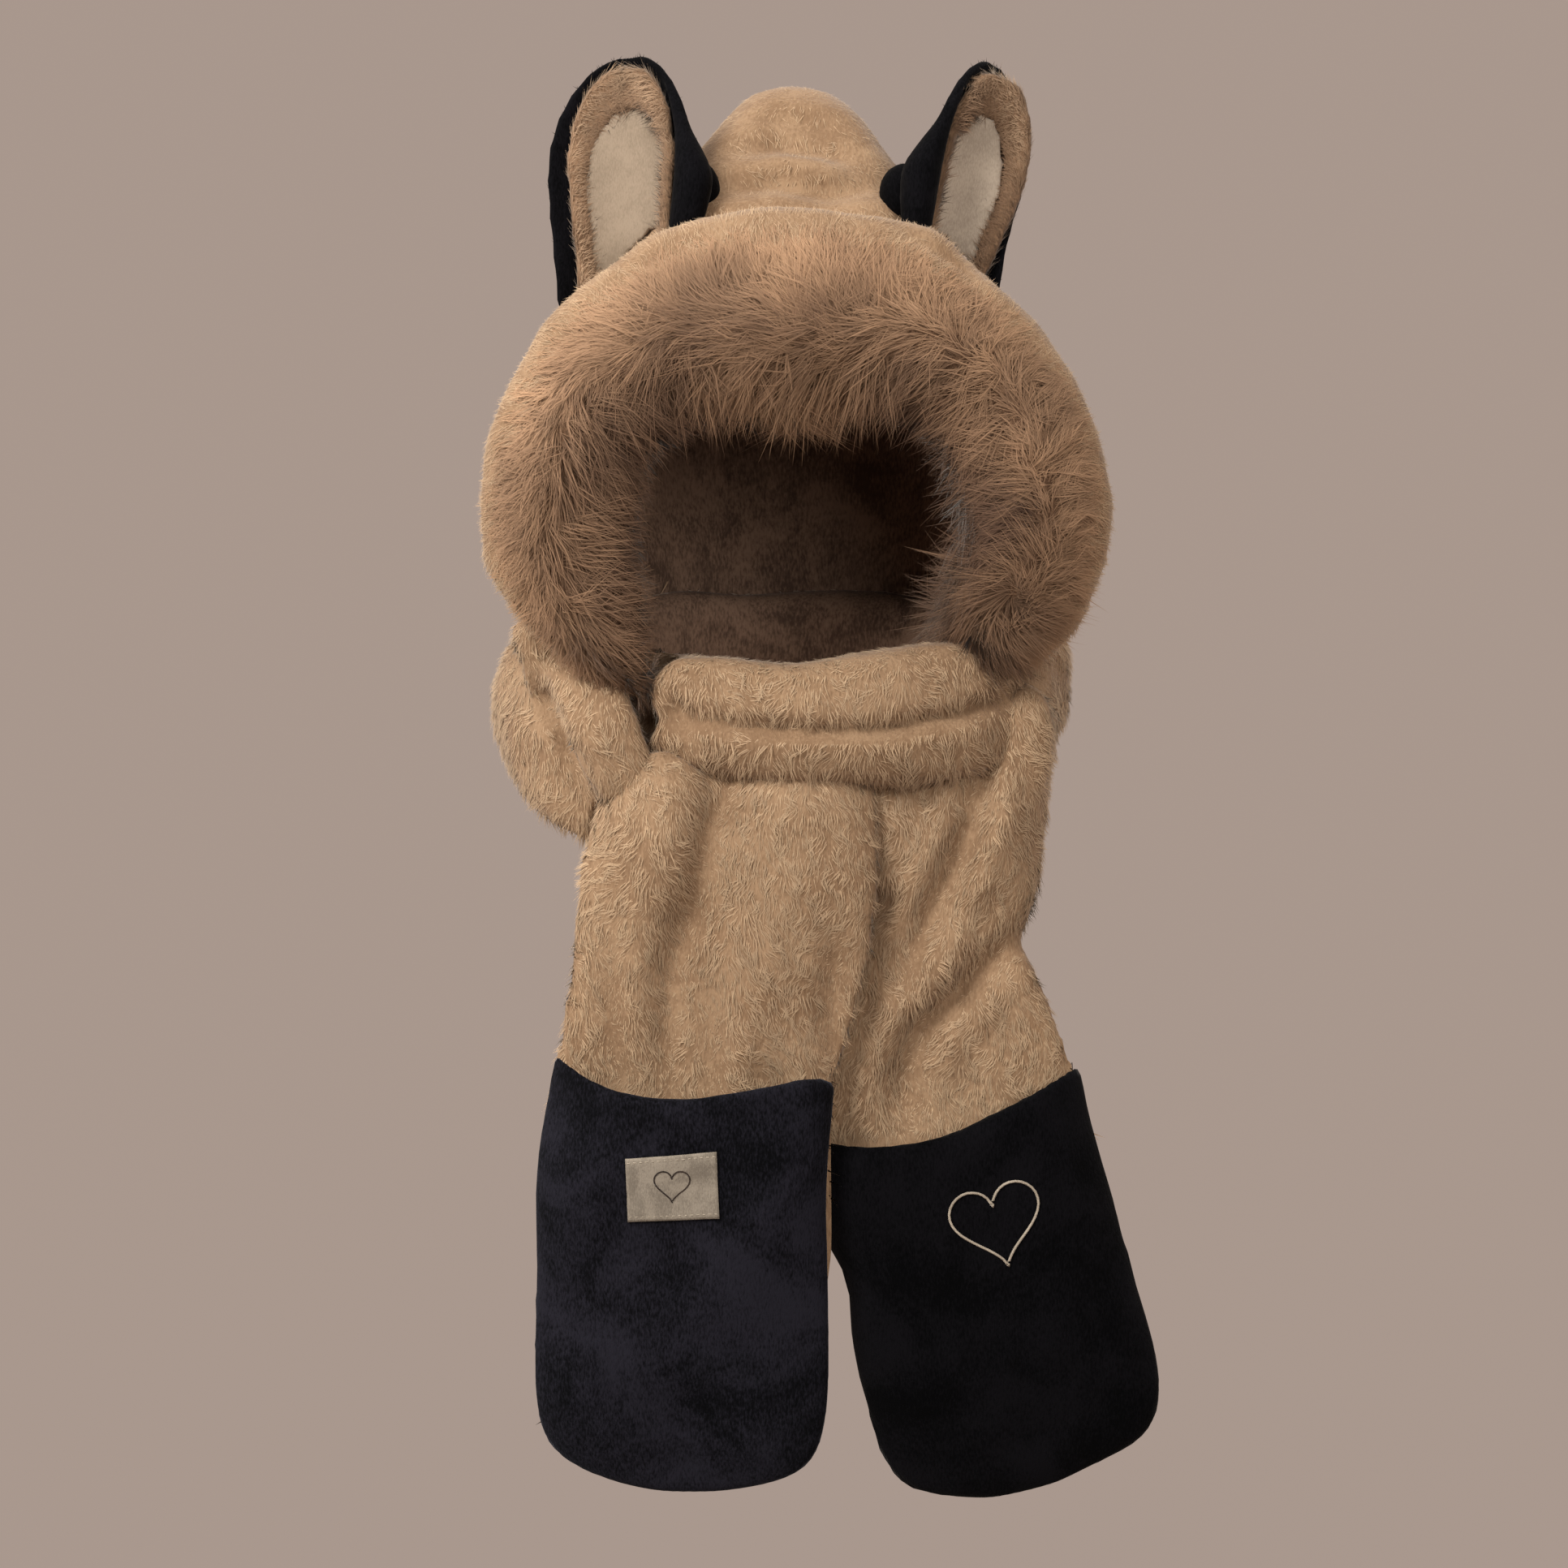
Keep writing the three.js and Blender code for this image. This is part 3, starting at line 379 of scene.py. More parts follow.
# the inside of the hood and the wrap: the same plush painted dark, painted shade where the inside lies in
# shadow
darkLining = clothMaterial("darkLining", {
    "Dark": colour(78, 60, 49), "Light": colour(128, 102, 84),
}, sheen=0.05)
labelWeave = clothMaterial("labelWeave", {
    "Dark": colour(118, 109, 97), "Light": colour(144, 134, 120), "Blotch Scale": 60.0, "Nap Scale": 1500.0,
}, bump=0.35, roughness=0.8, sheen=0.0)
creamThread = clothMaterial("creamThread", {
    "Dark": colour(140, 128, 112), "Light": colour(182, 170, 152), "Nap Scale": 2500.0,
}, roughness=0.6)
darkThread = clothMaterial("darkThread", {
    "Dark": colour(34, 26, 22), "Light": colour(58, 46, 38), "Nap Scale": 2500.0,
}, roughness=0.6)
print("materials done")


# soft forms

def bakeModifiers(piece):
    evaluated = piece.evaluated_get(bpy.context.evaluated_depsgraph_get())
    mesh = bpy.data.meshes.new_from_object(evaluated)
    piece.modifiers.clear()
    piece.data = mesh
    mesh.shade_smooth()


def bridgeLoops(bm, loops, closed=False):
    # a skin over loops, with both ends filled unless the last meets the first
    edges = {edge for loop in loops for vert in loop for edge in vert.link_edges}
    bmesh.ops.bridge_loops(bm, edges=list(edges), use_cyclic=closed)
    if not closed:
        for loop in (loops[0], loops[-1]):
            bmesh.ops.contextual_create(bm, geom=loop)


def addRoll(bm, stations):
    # a flattened roll through stations: x, y, z, half width and half thickness in mm
    stations = [[part * mm for part in station] for station in stations]
    loops = []
    for i, (x, y, z, wide, thick) in enumerate(stations):
        here = Vector((x, y, z))
        before = Vector(stations[max(i - 1, 0)][:3])
        after = Vector(stations[min(i + 1, len(stations) - 1)][:3])
        along = (after - before).normalized()
        across = along.cross(Vector((0, -1, 0))).normalized()
        out = across.cross(along)
        matrix = Matrix((across * wide, out * thick, along)).transposed().to_4x4()
        matrix.translation = here
        loops.append(bmesh.ops.create_circle(bm, segments=20, radius=1, matrix=matrix)["verts"])
    bridgeLoops(bm, loops)


def soften(form, turns):
    rounding = form.modifiers.new("rounding", "SMOOTH")
    rounding.factor = 0.5
    rounding.iterations = turns
    bakeModifiers(form)


def softForm(name, nodeName, voxel, smoothing, blobs=(), roll=None):
    # a copy of a CAD solid, joined with rounded blobs and a roll, remeshed and smoothed;
    # without a voxel it is subdivided instead
    bm = bmesh.new()
    bm.from_mesh(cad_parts[nodeName].data)
    bmesh.ops.remove_doubles(bm, verts=bm.verts, dist=weldGap)
    for place, radii in blobs:
        matrix = Matrix.Translation(Vector(place) * mm) @ Matrix.Diagonal((*(part * mm for part in radii), 1))
        bmesh.ops.create_icosphere(bm, subdivisions=3, radius=1, matrix=matrix)
    if roll:
        addRoll(bm, roll)
    form = addObject(name, newMesh(name, bm))
    if voxel:
        remesh = form.modifiers.new("remesh", "REMESH")
        remesh.mode = "VOXEL"
        remesh.voxel_size = voxel * mm
    else:
        form.modifiers.new("subdivision", "SUBSURF").levels = 1
    soften(form, smoothing)
    return form


def readPoints(mesh, layer="vertices", field="co"):
    rows = getattr(mesh, layer)
    values = np.empty(len(rows) * 3, np.float32)
    rows.foreach_get(field, values)
    return values.reshape(-1, 3).astype(float)


def writePoints(mesh, points):
    mesh.vertices.foreach_set("co", points.astype(np.float32).ravel())
    mesh.update()


def unit(vectors):
    return vectors / np.maximum(np.linalg.norm(vectors, axis=1), 1e-9)[:, None]


def lookUp(table, places):
    # the values of a table with rows of place and value, straight between its rows
    return np.interp(places, *zip(*table))


def drift(points, size, seed, waves=7):
    # a smooth field of about -1 to 1, that turns over about `size` mm
    rng = np.random.default_rng(seed)
    total = np.zeros(len(points))
    for _ in range(waves):
        way = rng.normal(size=3)
        way *= 2 * math.pi / (size * mm) * rng.uniform(0.5, 1.3) / np.linalg.norm(way)
        total += np.sin(points @ way + rng.uniform(0, 2 * math.pi))
    return total / math.sqrt(waves)


def alongLine(points, line):
    # distance in the front view to a line of points in mm, and how far along it
    flat = points[:, [0, 2]] / mm
    line = np.array(line, float)
    nearest = np.full(len(points), 1e9)
    share = np.zeros(len(points))
    count = len(line) - 1
    for i in range(count):
        start, way = line[i], line[i + 1] - line[i]
        t = np.clip(((flat - start) @ way) / (way @ way), 0, 1)
        gap = np.linalg.norm(flat - start - t[:, None] * way, axis=1)
        closer = gap < nearest
        nearest = np.where(closer, gap, nearest)
        share = np.where(closer, (i + t) / count, share)
    return nearest, share


def pressFolds(form, folds):
    # valleys along lines of the front view, with a soft swell beside them
    for fold in folds:
        points = readPoints(form.data)
        normals = readPoints(form.data, "vertex_normals", "vector")
        facing = np.clip(-normals[:, 1] * 1.6, 0, 1)
        nearest, share = alongLine(points, fold["line"])
        ends = np.sqrt(np.clip(np.sin(np.pi * np.clip(share, 0.02, 0.98)), 0, 1))
        across = nearest / fold["width"]
        dip = np.exp(-(across ** 2)) - fold.get("lip", 0.35) * np.exp(-((across - 2.2) ** 2))
        if fold.get("straight"):
            normals = np.tile((0.0, -1.0, 0.0), (len(points), 1))
        points -= normals * (fold["depth"] * mm * dip * ends * facing)[:, None]
        writePoints(form.data, points)

def tuck(form, low, high, move, where=None, axis=2):
    # shifts what lies beyond `high` by `move`, and nothing before `low`; places and moves in mm
    points = readPoints(form.data)
    share = np.clip((points[:, axis] / mm - low) / (high - low), 0, 1)
    share = share * share * (3 - 2 * share)
    if where is not None:
        share *= where(points)
    writePoints(form.data, points + share[:, None] * np.array(move) * mm)


def lean(form, table, edge, rest):
    # shifts one edge sideways by a table of heights and moves; whole at `edge`, nothing from `rest` on
    points = readPoints(form.data)
    share = np.clip((points[:, 0] / mm - rest) / (edge - rest), 0, 1)
    points[:, 0] += lookUp(table, points[:, 2] / mm) * share * share * (3 - 2 * share) * mm
    writePoints(form.data, points)


def swell(form, amount, size, seed, inset=0.0, where=None):
    # moves the surface in by `inset` mm and lets it roll by `amount` mm over about `size` mm
    points = readPoints(form.data)
    normals = readPoints(form.data, "vertex_normals", "vector")
    move = drift(points, size, seed) * amount - inset
    if where is not None:
        move *= where(points, normals)
    writePoints(form.data, points + normals * (move * mm)[:, None])


# pile

def scatter(form, count, seed, chance=None):
    # random places on a form, evenly by area, with the smooth normal there
    mesh = form.data
    mesh.calc_loop_triangles()
    corners = np.empty(len(mesh.loop_triangles) * 3, np.int32)
    mesh.loop_triangles.foreach_get("vertices", corners)
    corners = corners.reshape(-1, 3)
    points = readPoints(mesh)
    normals = readPoints(mesh, "vertex_normals", "vector")
    a, b, c = (points[corners[:, i]] for i in range(3))
    area = np.linalg.norm(np.cross(b - a, c - a), axis=1)
    if chance is not None:
        middle = (a + b + c) / 3
        area = area * chance(middle, unit(normals[corners].sum(axis=1)))
    rng = np.random.default_rng(seed)
    ladder = np.cumsum(area)
    picked = np.searchsorted(ladder, (np.arange(count) + rng.uniform(size=count)) / count * ladder[-1])
    picked = np.minimum(picked, len(area) - 1)
    r, s = rng.uniform(size=(2, count))
    flip = r + s > 1
    r, s = np.where(flip, 1 - r, r), np.where(flip, 1 - s, s)
    weights = np.stack([1 - r - s, r, s], 1)
    at = (points[corners[picked]] * weights[:, :, None]).sum(axis=1)
    normal = unit((normals[corners[picked]] * weights[:, :, None]).sum(axis=1))
    return at, normal, rng


plainHair = {
    "rings": 1, "sink": 1.0, "swirlSize": 45, "ruffle": 0, "ruffleSize": 16,
    "uneven": 0.2, "droop": 0.15, "clump": 0,
}


def uneven(rng, count, amount, least, most):
    return np.clip(1 + amount * rng.normal(size=count), least, most)


def clumped(root, tip, bend, length, pile, rng):
    # bends the hairs towards the tip of a leader close by
    count = len(root)
    leaders = rng.choice(count, max(count // pile["clumpSize"], 1), replace=False)
    tree = kdtree.KDTree(len(leaders))
    for i, leader in enumerate(leaders):
        tree.insert(root[leader], i)
    tree.balance()
    owner = leaders[[tree.find(place)[1] for place in root]]
    pull = tip[owner] - tip
    far = np.linalg.norm(root[owner] - root, axis=1) > pile["length"] * mm * 0.6
    pull[far] = 0
    return bend + pull * pile["clump"] / length[:, None]


def hairFaces(rings):
    # a closed hair with three sides, from its first ring to its tip
    faces = [(0, 2, 1)]
    for i in range(rings - 1):
        for j in range(3):
            k = (j + 1) % 3
            low, high = i * 3, i * 3 + 3
            faces += [(low + j, low + k, high + k), (low + j, high + k, high + j)]
    last = rings * 3 - 3
    faces += [(last + j, last + (j + 1) % 3, rings * 3) for j in range(3)]
    return np.array(faces)


def hairMesh(name, points, rings):
    count, stride = points.shape[:2]
    corners = (hairFaces(rings)[None] + (np.arange(count) * stride)[:, None, None]).reshape(-1)
    mesh = bpy.data.meshes.new(name)
    mesh.vertices.add(count * stride)
    mesh.vertices.foreach_set("co", points.astype(np.float32).ravel())
    mesh.loops.add(len(corners))
    mesh.loops.foreach_set("vertex_index", corners.astype(np.int32))
    mesh.polygons.add(len(corners) // 3)
    mesh.polygons.foreach_set("loop_start", np.arange(0, len(corners), 3, dtype=np.int32))
    mesh.update(calc_edges=True)
    mesh.shade_smooth()
    return mesh


def growPile(name, form, pile, comb, seed, material, chance=None, brown=None):
    # closed tapered hairs on a form; comb gives their way, and lift and length as shares
    pile = {**plainHair, **pile}
    root, normal, rng = scatter(form, pile["count"], seed, chance)
    count = len(root)
    way, liftShare, lengthShare = comb(root, normal)
    way = unit(way - normal * (way * normal).sum(axis=1)[:, None])
    across = np.cross(normal, way)
    swirl = np.radians(pile["swirl"]) * drift(root, pile["swirlSize"], seed + 1)
    swirl += np.radians(pile["ruffle"]) * drift(root, pile["ruffleSize"], seed + 3)
    swirl += np.radians(pile["wander"]) * rng.normal(size=count)
    way = way * np.cos(swirl)[:, None] + across * np.sin(swirl)[:, None]
    across = np.cross(normal, way)
    lift = np.radians(pile["lift"]) * liftShare * uneven(rng, count, 0.25, 0.4, 1.7)
    lift = np.clip(lift, 0.1, 1.45)
    length = pile["length"] * mm * lengthShare * uneven(rng, count, pile["uneven"], 0.5, 1.6)
    width = pile["width"] * mm * uneven(rng, count, 0.25, 0.5, 1.6)
    start = normal * np.sin(lift)[:, None] + way * np.cos(lift)[:, None]
    bend = -normal * (0.5 * np.sin(lift))[:, None] + way * 0.25
    bend[:, 2] -= pile["droop"]
    if pile["clump"]:
        bend = clumped(root, root + length[:, None] * (start + bend), bend, length, pile, rng)
    rings = pile["rings"]
    foot = root - normal * pile["sink"] * mm
    points = np.empty((count, rings * 3 + 1, 3))
    tones = np.empty((count, rings * 3 + 1))
    for i in range(rings):
        t = i / rings
        centre = foot + length[:, None] * (start * t + bend * t * t)
        along = unit(start + 2 * t * bend)
        up = np.cross(across, along)
        thick = width * (1 - t) ** 0.6 / 2
        points[:, i * 3] = centre - across * thick[:, None]
        points[:, i * 3 + 1] = centre + across * thick[:, None]
        points[:, i * 3 + 2] = centre - up * (thick * 0.9)[:, None]
        tones[:, i * 3: i * 3 + 3] = t
    points[:, -1] = foot + length[:, None] * (start + bend)
    tones[:, -1] = 1
    mesh = hairMesh(name, points, rings)
    shade = np.clip(0.5 + 0.1 * rng.normal(size=count) + 0.2 * drift(root, 9, seed + 2), 0, 1)
    brownAndShadeValues = np.zeros(count) if brown is None else brown(root)
    stride = points.shape[1]
    layers = {
        "tone": tones,
        "shade": np.repeat(shade, stride),
        "across": np.tile((0.0, 1.0, 0.5) * rings + (0.5,), count),
        "brown": np.repeat(brownAndShadeValues, stride),
    }
    for label, values in layers.items():
        layer = mesh.attributes.new(label, "FLOAT", "POINT")
        layer.data.foreach_set("value", np.asarray(values, np.float32).ravel())
    own = readPoints(mesh, "vertex_normals", "vector")
    softness = pile["softness"]
    blended = unit(own * (1 - softness) + np.repeat(normal, stride, axis=0) * softness)
    mesh.normals_split_custom_set_from_vertices(blended.astype(np.float32))
    mesh.materials.append(material)
    made = addObject(name, mesh)
    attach(made, "root")
    print(name, count, "hairs,", len(mesh.polygons), "triangles")
    return made


def finishForm(form, material, slotName, fill, *nodeNames):
    # fill is not used
    form.data.materials.clear()
    form.data.materials.append(material)
    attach(form, "root")
    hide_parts(*nodeNames)


def paintFaces(form, material, where):
    # a second material on the faces that `where` picks
    form.data.materials.append(material)
    centres = readPoints(form.data, "polygons", "center")
    normals = readPoints(form.data, "polygon_normals", "vector")
    form.data.polygons.foreach_set("material_index", where(centres, normals).astype(np.int32))


def hangingComb(points, normals):
    way = np.zeros_like(points)
    way[:, 2] = -1
    way[:, 0] = 0.15 * drift(points, 90, 3)
    return way, 1, 1


def creased(comb, folds, width=14.0):
    # the hair is short along the folds, so that they read as lines
    def cropped(points, normals):
        way, lift, length = comb(points, normals)
        for fold in folds:
            nearest, _ = alongLine(points, fold["line"])
            short = np.clip(0.45 + nearest / width, 0, 1)
            length = length * np.where(normals[:, 1] < 0.2, short, 1)
        return way, lift, length
    return cropped


# hood

hood = {
    "voxel": 6.5, "smoothing": 5, "inset": 4.5, "lumps": 1.5, "lumpSize": 70,
    "folds": [
        {"line": [(-34, -38), (-8, -31), (18, -35), (38, -44)], "depth": 6.5, "width": 6},
        {"line": [(-46, -60), (-10, -55), (20, -62), (56, -56)], "depth": 7, "width": 7},
        {"line": [(-20, -14), (8, -18), (34, -26)], "depth": 4, "width": 5},
    ],
    "sideReach": 20,  # how far the side edges move forward, into the brim
    "pile": {
        "count": 22000, "length": 7, "width": 0.7, "lift": 34, "swirl": 22, "wander": 12, "softness": 0.95,
        "ruffle": 38, "ruffleSize": 13,
    },
    "lining": {
        "count": 5500, "length": 17, "width": 1.2, "lift": 40, "swirl": 30, "wander": 20, "softness": 0.8,
        "ruffle": 25, "ruffleSize": 20, "clump": 0.3, "clumpSize": 6,
    },
}


def insideHood(points, normals):
    # 1 on the hood's inner wall, which faces its upright axis and the dome's centre
    out = points - np.array([0, 0.025, 0])
    out[:, 2] = np.maximum(points[:, 2] + 0.15, 0)
    return ((out * normals).sum(axis=1) < 0).astype(float)


def outsideHood(points, normals):
    return 1 - insideHood(points, normals)


def buildCrown():
    form = softForm("crownPlush", "hood_crown", hood["voxel"], hood["smoothing"])
    swell(form, hood["lumps"], hood["lumpSize"], 11, hood["inset"], outsideHood)
    pressFolds(form, hood["folds"])

    def behind(points):
        return np.clip((points[:, 1] / mm - 20) / 30, 0, 1)

    def beside(points):
        return lookUp([(-345, 0), (-325, 1), (-165, 1), (-130, 0)], points[:, 2] / mm)

    tuck(form, -264, -292, (0, 0, -26), behind)
    tuck(form, -58, -82, (0, -13, 0), axis=1)
    tuck(form, -28, -48, (0, -hood["sideReach"], 0), beside, axis=1)
    finishForm(form, tanCloth, "plush_tan", 0.3, "hood_crown")
    # the hood's inner wall is painted dark: painted shade
    paintFaces(form, darkLining, insideHood)

    def comb(points, normals):
        way, lift, length = hangingComb(points, normals)
        way[:, 1] = 0.6
        return way, lift, length

    growPile("crownPile", form, hood["pile"], comb, 21, tanPile, outsideHood)

    def liningChance(points, normals):
        return insideHood(points, normals) * np.clip((95 - points[:, 1] / mm) / 120, 0, 1)

    # the lining's hairs are browner: painted shade inside the hood
    def liningPaintedShade(points):
        return np.full(len(points), 0.55)

    made = growPile("liningPile", form, hood["lining"], hangingComb, 27, tanPile, liningChance, liningPaintedShade)


# the brim's roll: degrees round the face, then radius, half height, half depth and forward in mm
ring = np.array([
    (-43, 132, 21, 22, 53), (-36, 136, 33, 33, 65), (-22, 142, 44, 46, 90), (0, 145, 47, 52, 105),
    (30, 138, 51, 54, 110), (60, 124, 58, 55, 116), (90, 113, 64, 56, 119), (120, 124, 60, 55, 116),
    (150, 135, 54, 54, 110), (180, 139, 50, 52, 107), (205, 139, 45, 48, 105), (222, 138, 37, 40, 104),
    (236, 138, 20, 24, 102),
], float)
ringDrop = 254.0

furHair = {
    "swirl": 24, "swirlSize": 55, "ruffle": 32, "ruffleSize": 13,
    "clump": 0.5, "clumpSize": 8, "softness": 0.85,
}
brim = {
    "voxel": 5.6, "smoothing": 8, "inset": 3.5, "lumps": 1.2, "lumpSize": 80,
    "pile": {
        "count": 17500, "length": 7, "width": 0.65, "lift": 32, "swirl": 16, "wander": 13, "softness": 0.95,
        "ruffle": 32, "ruffleSize": 14,
    },
    "trim": {
        **furHair, "count": 6600, "length": 31, "width": 0.75, "lift": 38, "wander": 15, "rings": 2,
        "droop": 0.1, "uneven": 0.28,
    },
    "down": {
        **furHair, "count": 21500, "length": 25, "width": 0.7, "lift": 36, "wander": 17,
        "droop": 0.05, "uneven": 0.3,
    },
    # where the hair parts: degrees round the face, and round the roll
    "parting": [
        (-43, 80), (0, 82), (42, 82), (70, 100), (90, 108),
        (110, 101), (137, 87), (165, 82), (182, 70), (236, 78),
    ],
    # share of the hair's length, by degrees round the roll and round the face
    "rollLength": [
        (-90, 0.25), (26, 0.25), (46, 0.42), (68, 0.8), (100, 1), (170, 1), (205, 0.9), (240, 0.5),
    ],
    "faceLength": [
        (-43, 0.9), (-20, 1), (40, 1), (60, 1.12), (120, 1.12), (150, 1), (200, 1), (222, 0.65), (236, 0.5),
    ],
    "innerLength": [(-43, 0.6), (-20, 1), (10, 1), (40, 0)],
    # share of brown and painted shade by degrees round the roll, at the sides of the face and over the brow:
    # the fur's own brown, with painted shade darker inside and at the sides
    "sideBrownAndShade": [(-90, 0), (0, 0.08), (40, 0.2), (75, 0.45), (100, 0.7), (140, 0.95), (200, 1)],
    "browBrownAndShade": [(-90, 0), (0, 0.05), (40, 0.12), (75, 0.4), (98, 0.75), (125, 0.25), (160, 0), (200, 0)],
    "top": 96,  # half way between the roll's ends, in degrees round the face
    "cornerPull": 19,  # how far the left end's outer side is drawn in
    "endPull": 16,
    "topLift": 8.5, "shoulderLift": 6,
    "folds": [{"line": [(62, -86), (84, -98), (108, -114)], "depth": 5, "width": 5}],
}


def roundRing(points):
    # degrees round the face, and round the roll from its outer edge to the front
    x, z = points[:, 0] / mm, points[:, 2] / mm + ringDrop
    face = np.degrees(np.arctan2(z, x))
    face = np.where(face < -90, face + 360, face)
    radius, half, depth, forward = (np.interp(face, ring[:, 0], ring[:, i]) for i in (1, 2, 3, 4))
    roll = np.degrees(np.arctan2(-(points[:, 1] / mm + forward) / depth, (np.hypot(x, z) - radius) / half))
    return face, np.where(roll < -90, roll + 360, roll)


def partingOf(points, face):
    return lookUp(brim["parting"], face) + 10 * drift(points, 60, 31)


def roundWays(face):
    # the ways out from the face's middle and on round it
    around = np.radians(face)
    flat = np.zeros(len(face))
    out = np.stack([np.cos(around), flat, np.sin(around)], 1)
    return out, np.stack([-np.sin(around), flat, np.cos(around)], 1)


def trimComb(points, normals):
    face, roll = roundRing(points)
    out, along = roundWays(face)
    parting = partingOf(points, face)
    side = np.tanh((parting - roll) / 34)
    near = np.exp(-(((roll - parting) / 26) ** 2))
    way = out * side[:, None]
    way += along * (near * (0.55 + 0.25 * drift(points, 30, 43)))[:, None]
    way[:, 0] += 0.3 * near * drift(points, 14, 41)
    way[:, 1] += 0.35 * np.abs(side) * (roll < 60)
    way[:, 2] += 0.3 * near * drift(points, 14, 42) - 0.3 * (1 - near)
    ends = np.clip((face - 214) / 16, 0, 1) - np.clip((-26 - face) / 12, 0, 1)
    way += along * ends[:, None] * 0.6
    cap = np.clip(np.abs((normals * along).sum(axis=1)) * 2 - 1, 0, 1) * (np.abs(face - brim["top"]) > 110)
    way = way * (1 - cap)[:, None] + np.array([0.8, -0.2, -0.9]) * cap[:, None]
    length = lookUp(brim["rollLength"], roll)
    length *= lookUp(brim["faceLength"], face)
    length *= 1 + 0.45 * np.clip((roll - 120) / 30, 0, 1) * lookUp(brim["innerLength"], face)
    return way, 1 + 0.5 * near + 0.5 * cap, length * (1 + 0.35 * cap)


def trimBrownAndShade(points):
    # tan outside and over the brow, brown at the sides and inside: partly the fur's own brown, partly painted
    # shade
    face, roll = roundRing(points)
    sides = np.clip(np.abs(np.cos(np.radians(face))) * 1.5 - 0.25, 0, 1)
    dark = lookUp(brim["sideBrownAndShade"], roll)
    light = lookUp(brim["browBrownAndShade"], roll)
    patches = 0.12 * drift(points, 40, 33) + 0.1 * drift(points, 15, 34)
    return np.clip(light + (dark - light) * sides + patches, 0, 1)


def buildBrim():
    form = softForm("brimPlush", "hood_brim", brim["voxel"], brim["smoothing"])
    swell(form, brim["lumps"], brim["lumpSize"], 12, brim["inset"])

    def nearMiddle(points):
        return np.clip((130 - np.abs(points[:, 0]) / mm) / 50, 0, 1)

    def atShoulder(points):
        return np.exp(-(((points[:, 0] / mm - 94) / 32) ** 2))

    tuck(form, -125, -90, (0, 0, brim["topLift"]), nearMiddle)
    tuck(form, -130, -95, (0, 0, brim["shoulderLift"]), atShoulder)
    pressFolds(form, brim["folds"])
    points = readPoints(form.data)
    face, roll = roundRing(points)
    out, along = roundWays(face)
    corner = lookUp([(188, 0), (212, 1)], face) * lookUp([(-90, 0.3), (-40, 1), (40, 1), (95, 0)], roll)
    end = lookUp([(204, 0), (236, 1)], face)
    points -= out * (corner * brim["cornerPull"] * mm)[:, None]
    points -= along * (end * brim["endPull"] * mm)[:, None]
    writePoints(form.data, points)
    finishForm(form, tanCloth, "plush_tan", 0.8, "hood_brim")

    def inTrim(points, normals):
        face, roll = roundRing(points)
        return (roll > 40) & (roll < 250) & (np.abs(face - brim["top"]) < 126)

    paintFaces(form, trimCloth, inTrim)

    def shortChance(points, normals):
        _, roll = roundRing(points)
        return lookUp([(-90, 0.5), (-50, 0.6), (-20, 1), (40, 1), (58, 0), (250, 0), (270, 0.3)], roll)

    def longChance(points, normals):
        face, roll = roundRing(points)
        _, along = roundWays(face)
        onEnd = np.abs((normals * along).sum(axis=1)) > 0.6
        return lookUp([(26, 0), (55, 1), (200, 1), (235, 0.7), (250, 0)], roll) * np.where(onEnd, 5, 1)

    def shortComb(points, normals):
        way, lift, length = trimComb(points, normals)
        way[:, 1] += 0.8
        return way, 1, np.maximum(length / 0.25, 1)

    growPile("brimPile", form, brim["pile"], shortComb, 22, tanPile, shortChance, trimBrownAndShade)

    def pastParting(points):
        face, roll = roundRing(points)
        return roll >= partingOf(points, face)

    def outerChance(points, normals):
        return longChance(points, normals) * ~pastParting(points)

    def innerChance(points, normals):
        return longChance(points, normals) * pastParting(points)

    for name, pile, chance, seed in (
        ("trimOuter", "trim", outerChance, 23), ("trimInner", "trim", innerChance, 24),
        ("trimOuterDown", "down", outerChance, 71), ("trimInnerDown", "down", innerChance, 72),
    ):
        made = growPile(name, form, brim[pile], trimComb, seed, trimPile, chance, trimBrownAndShade)
        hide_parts("fur_trim")


buildCrown()
buildBrim()
print("hood done")

# scarf

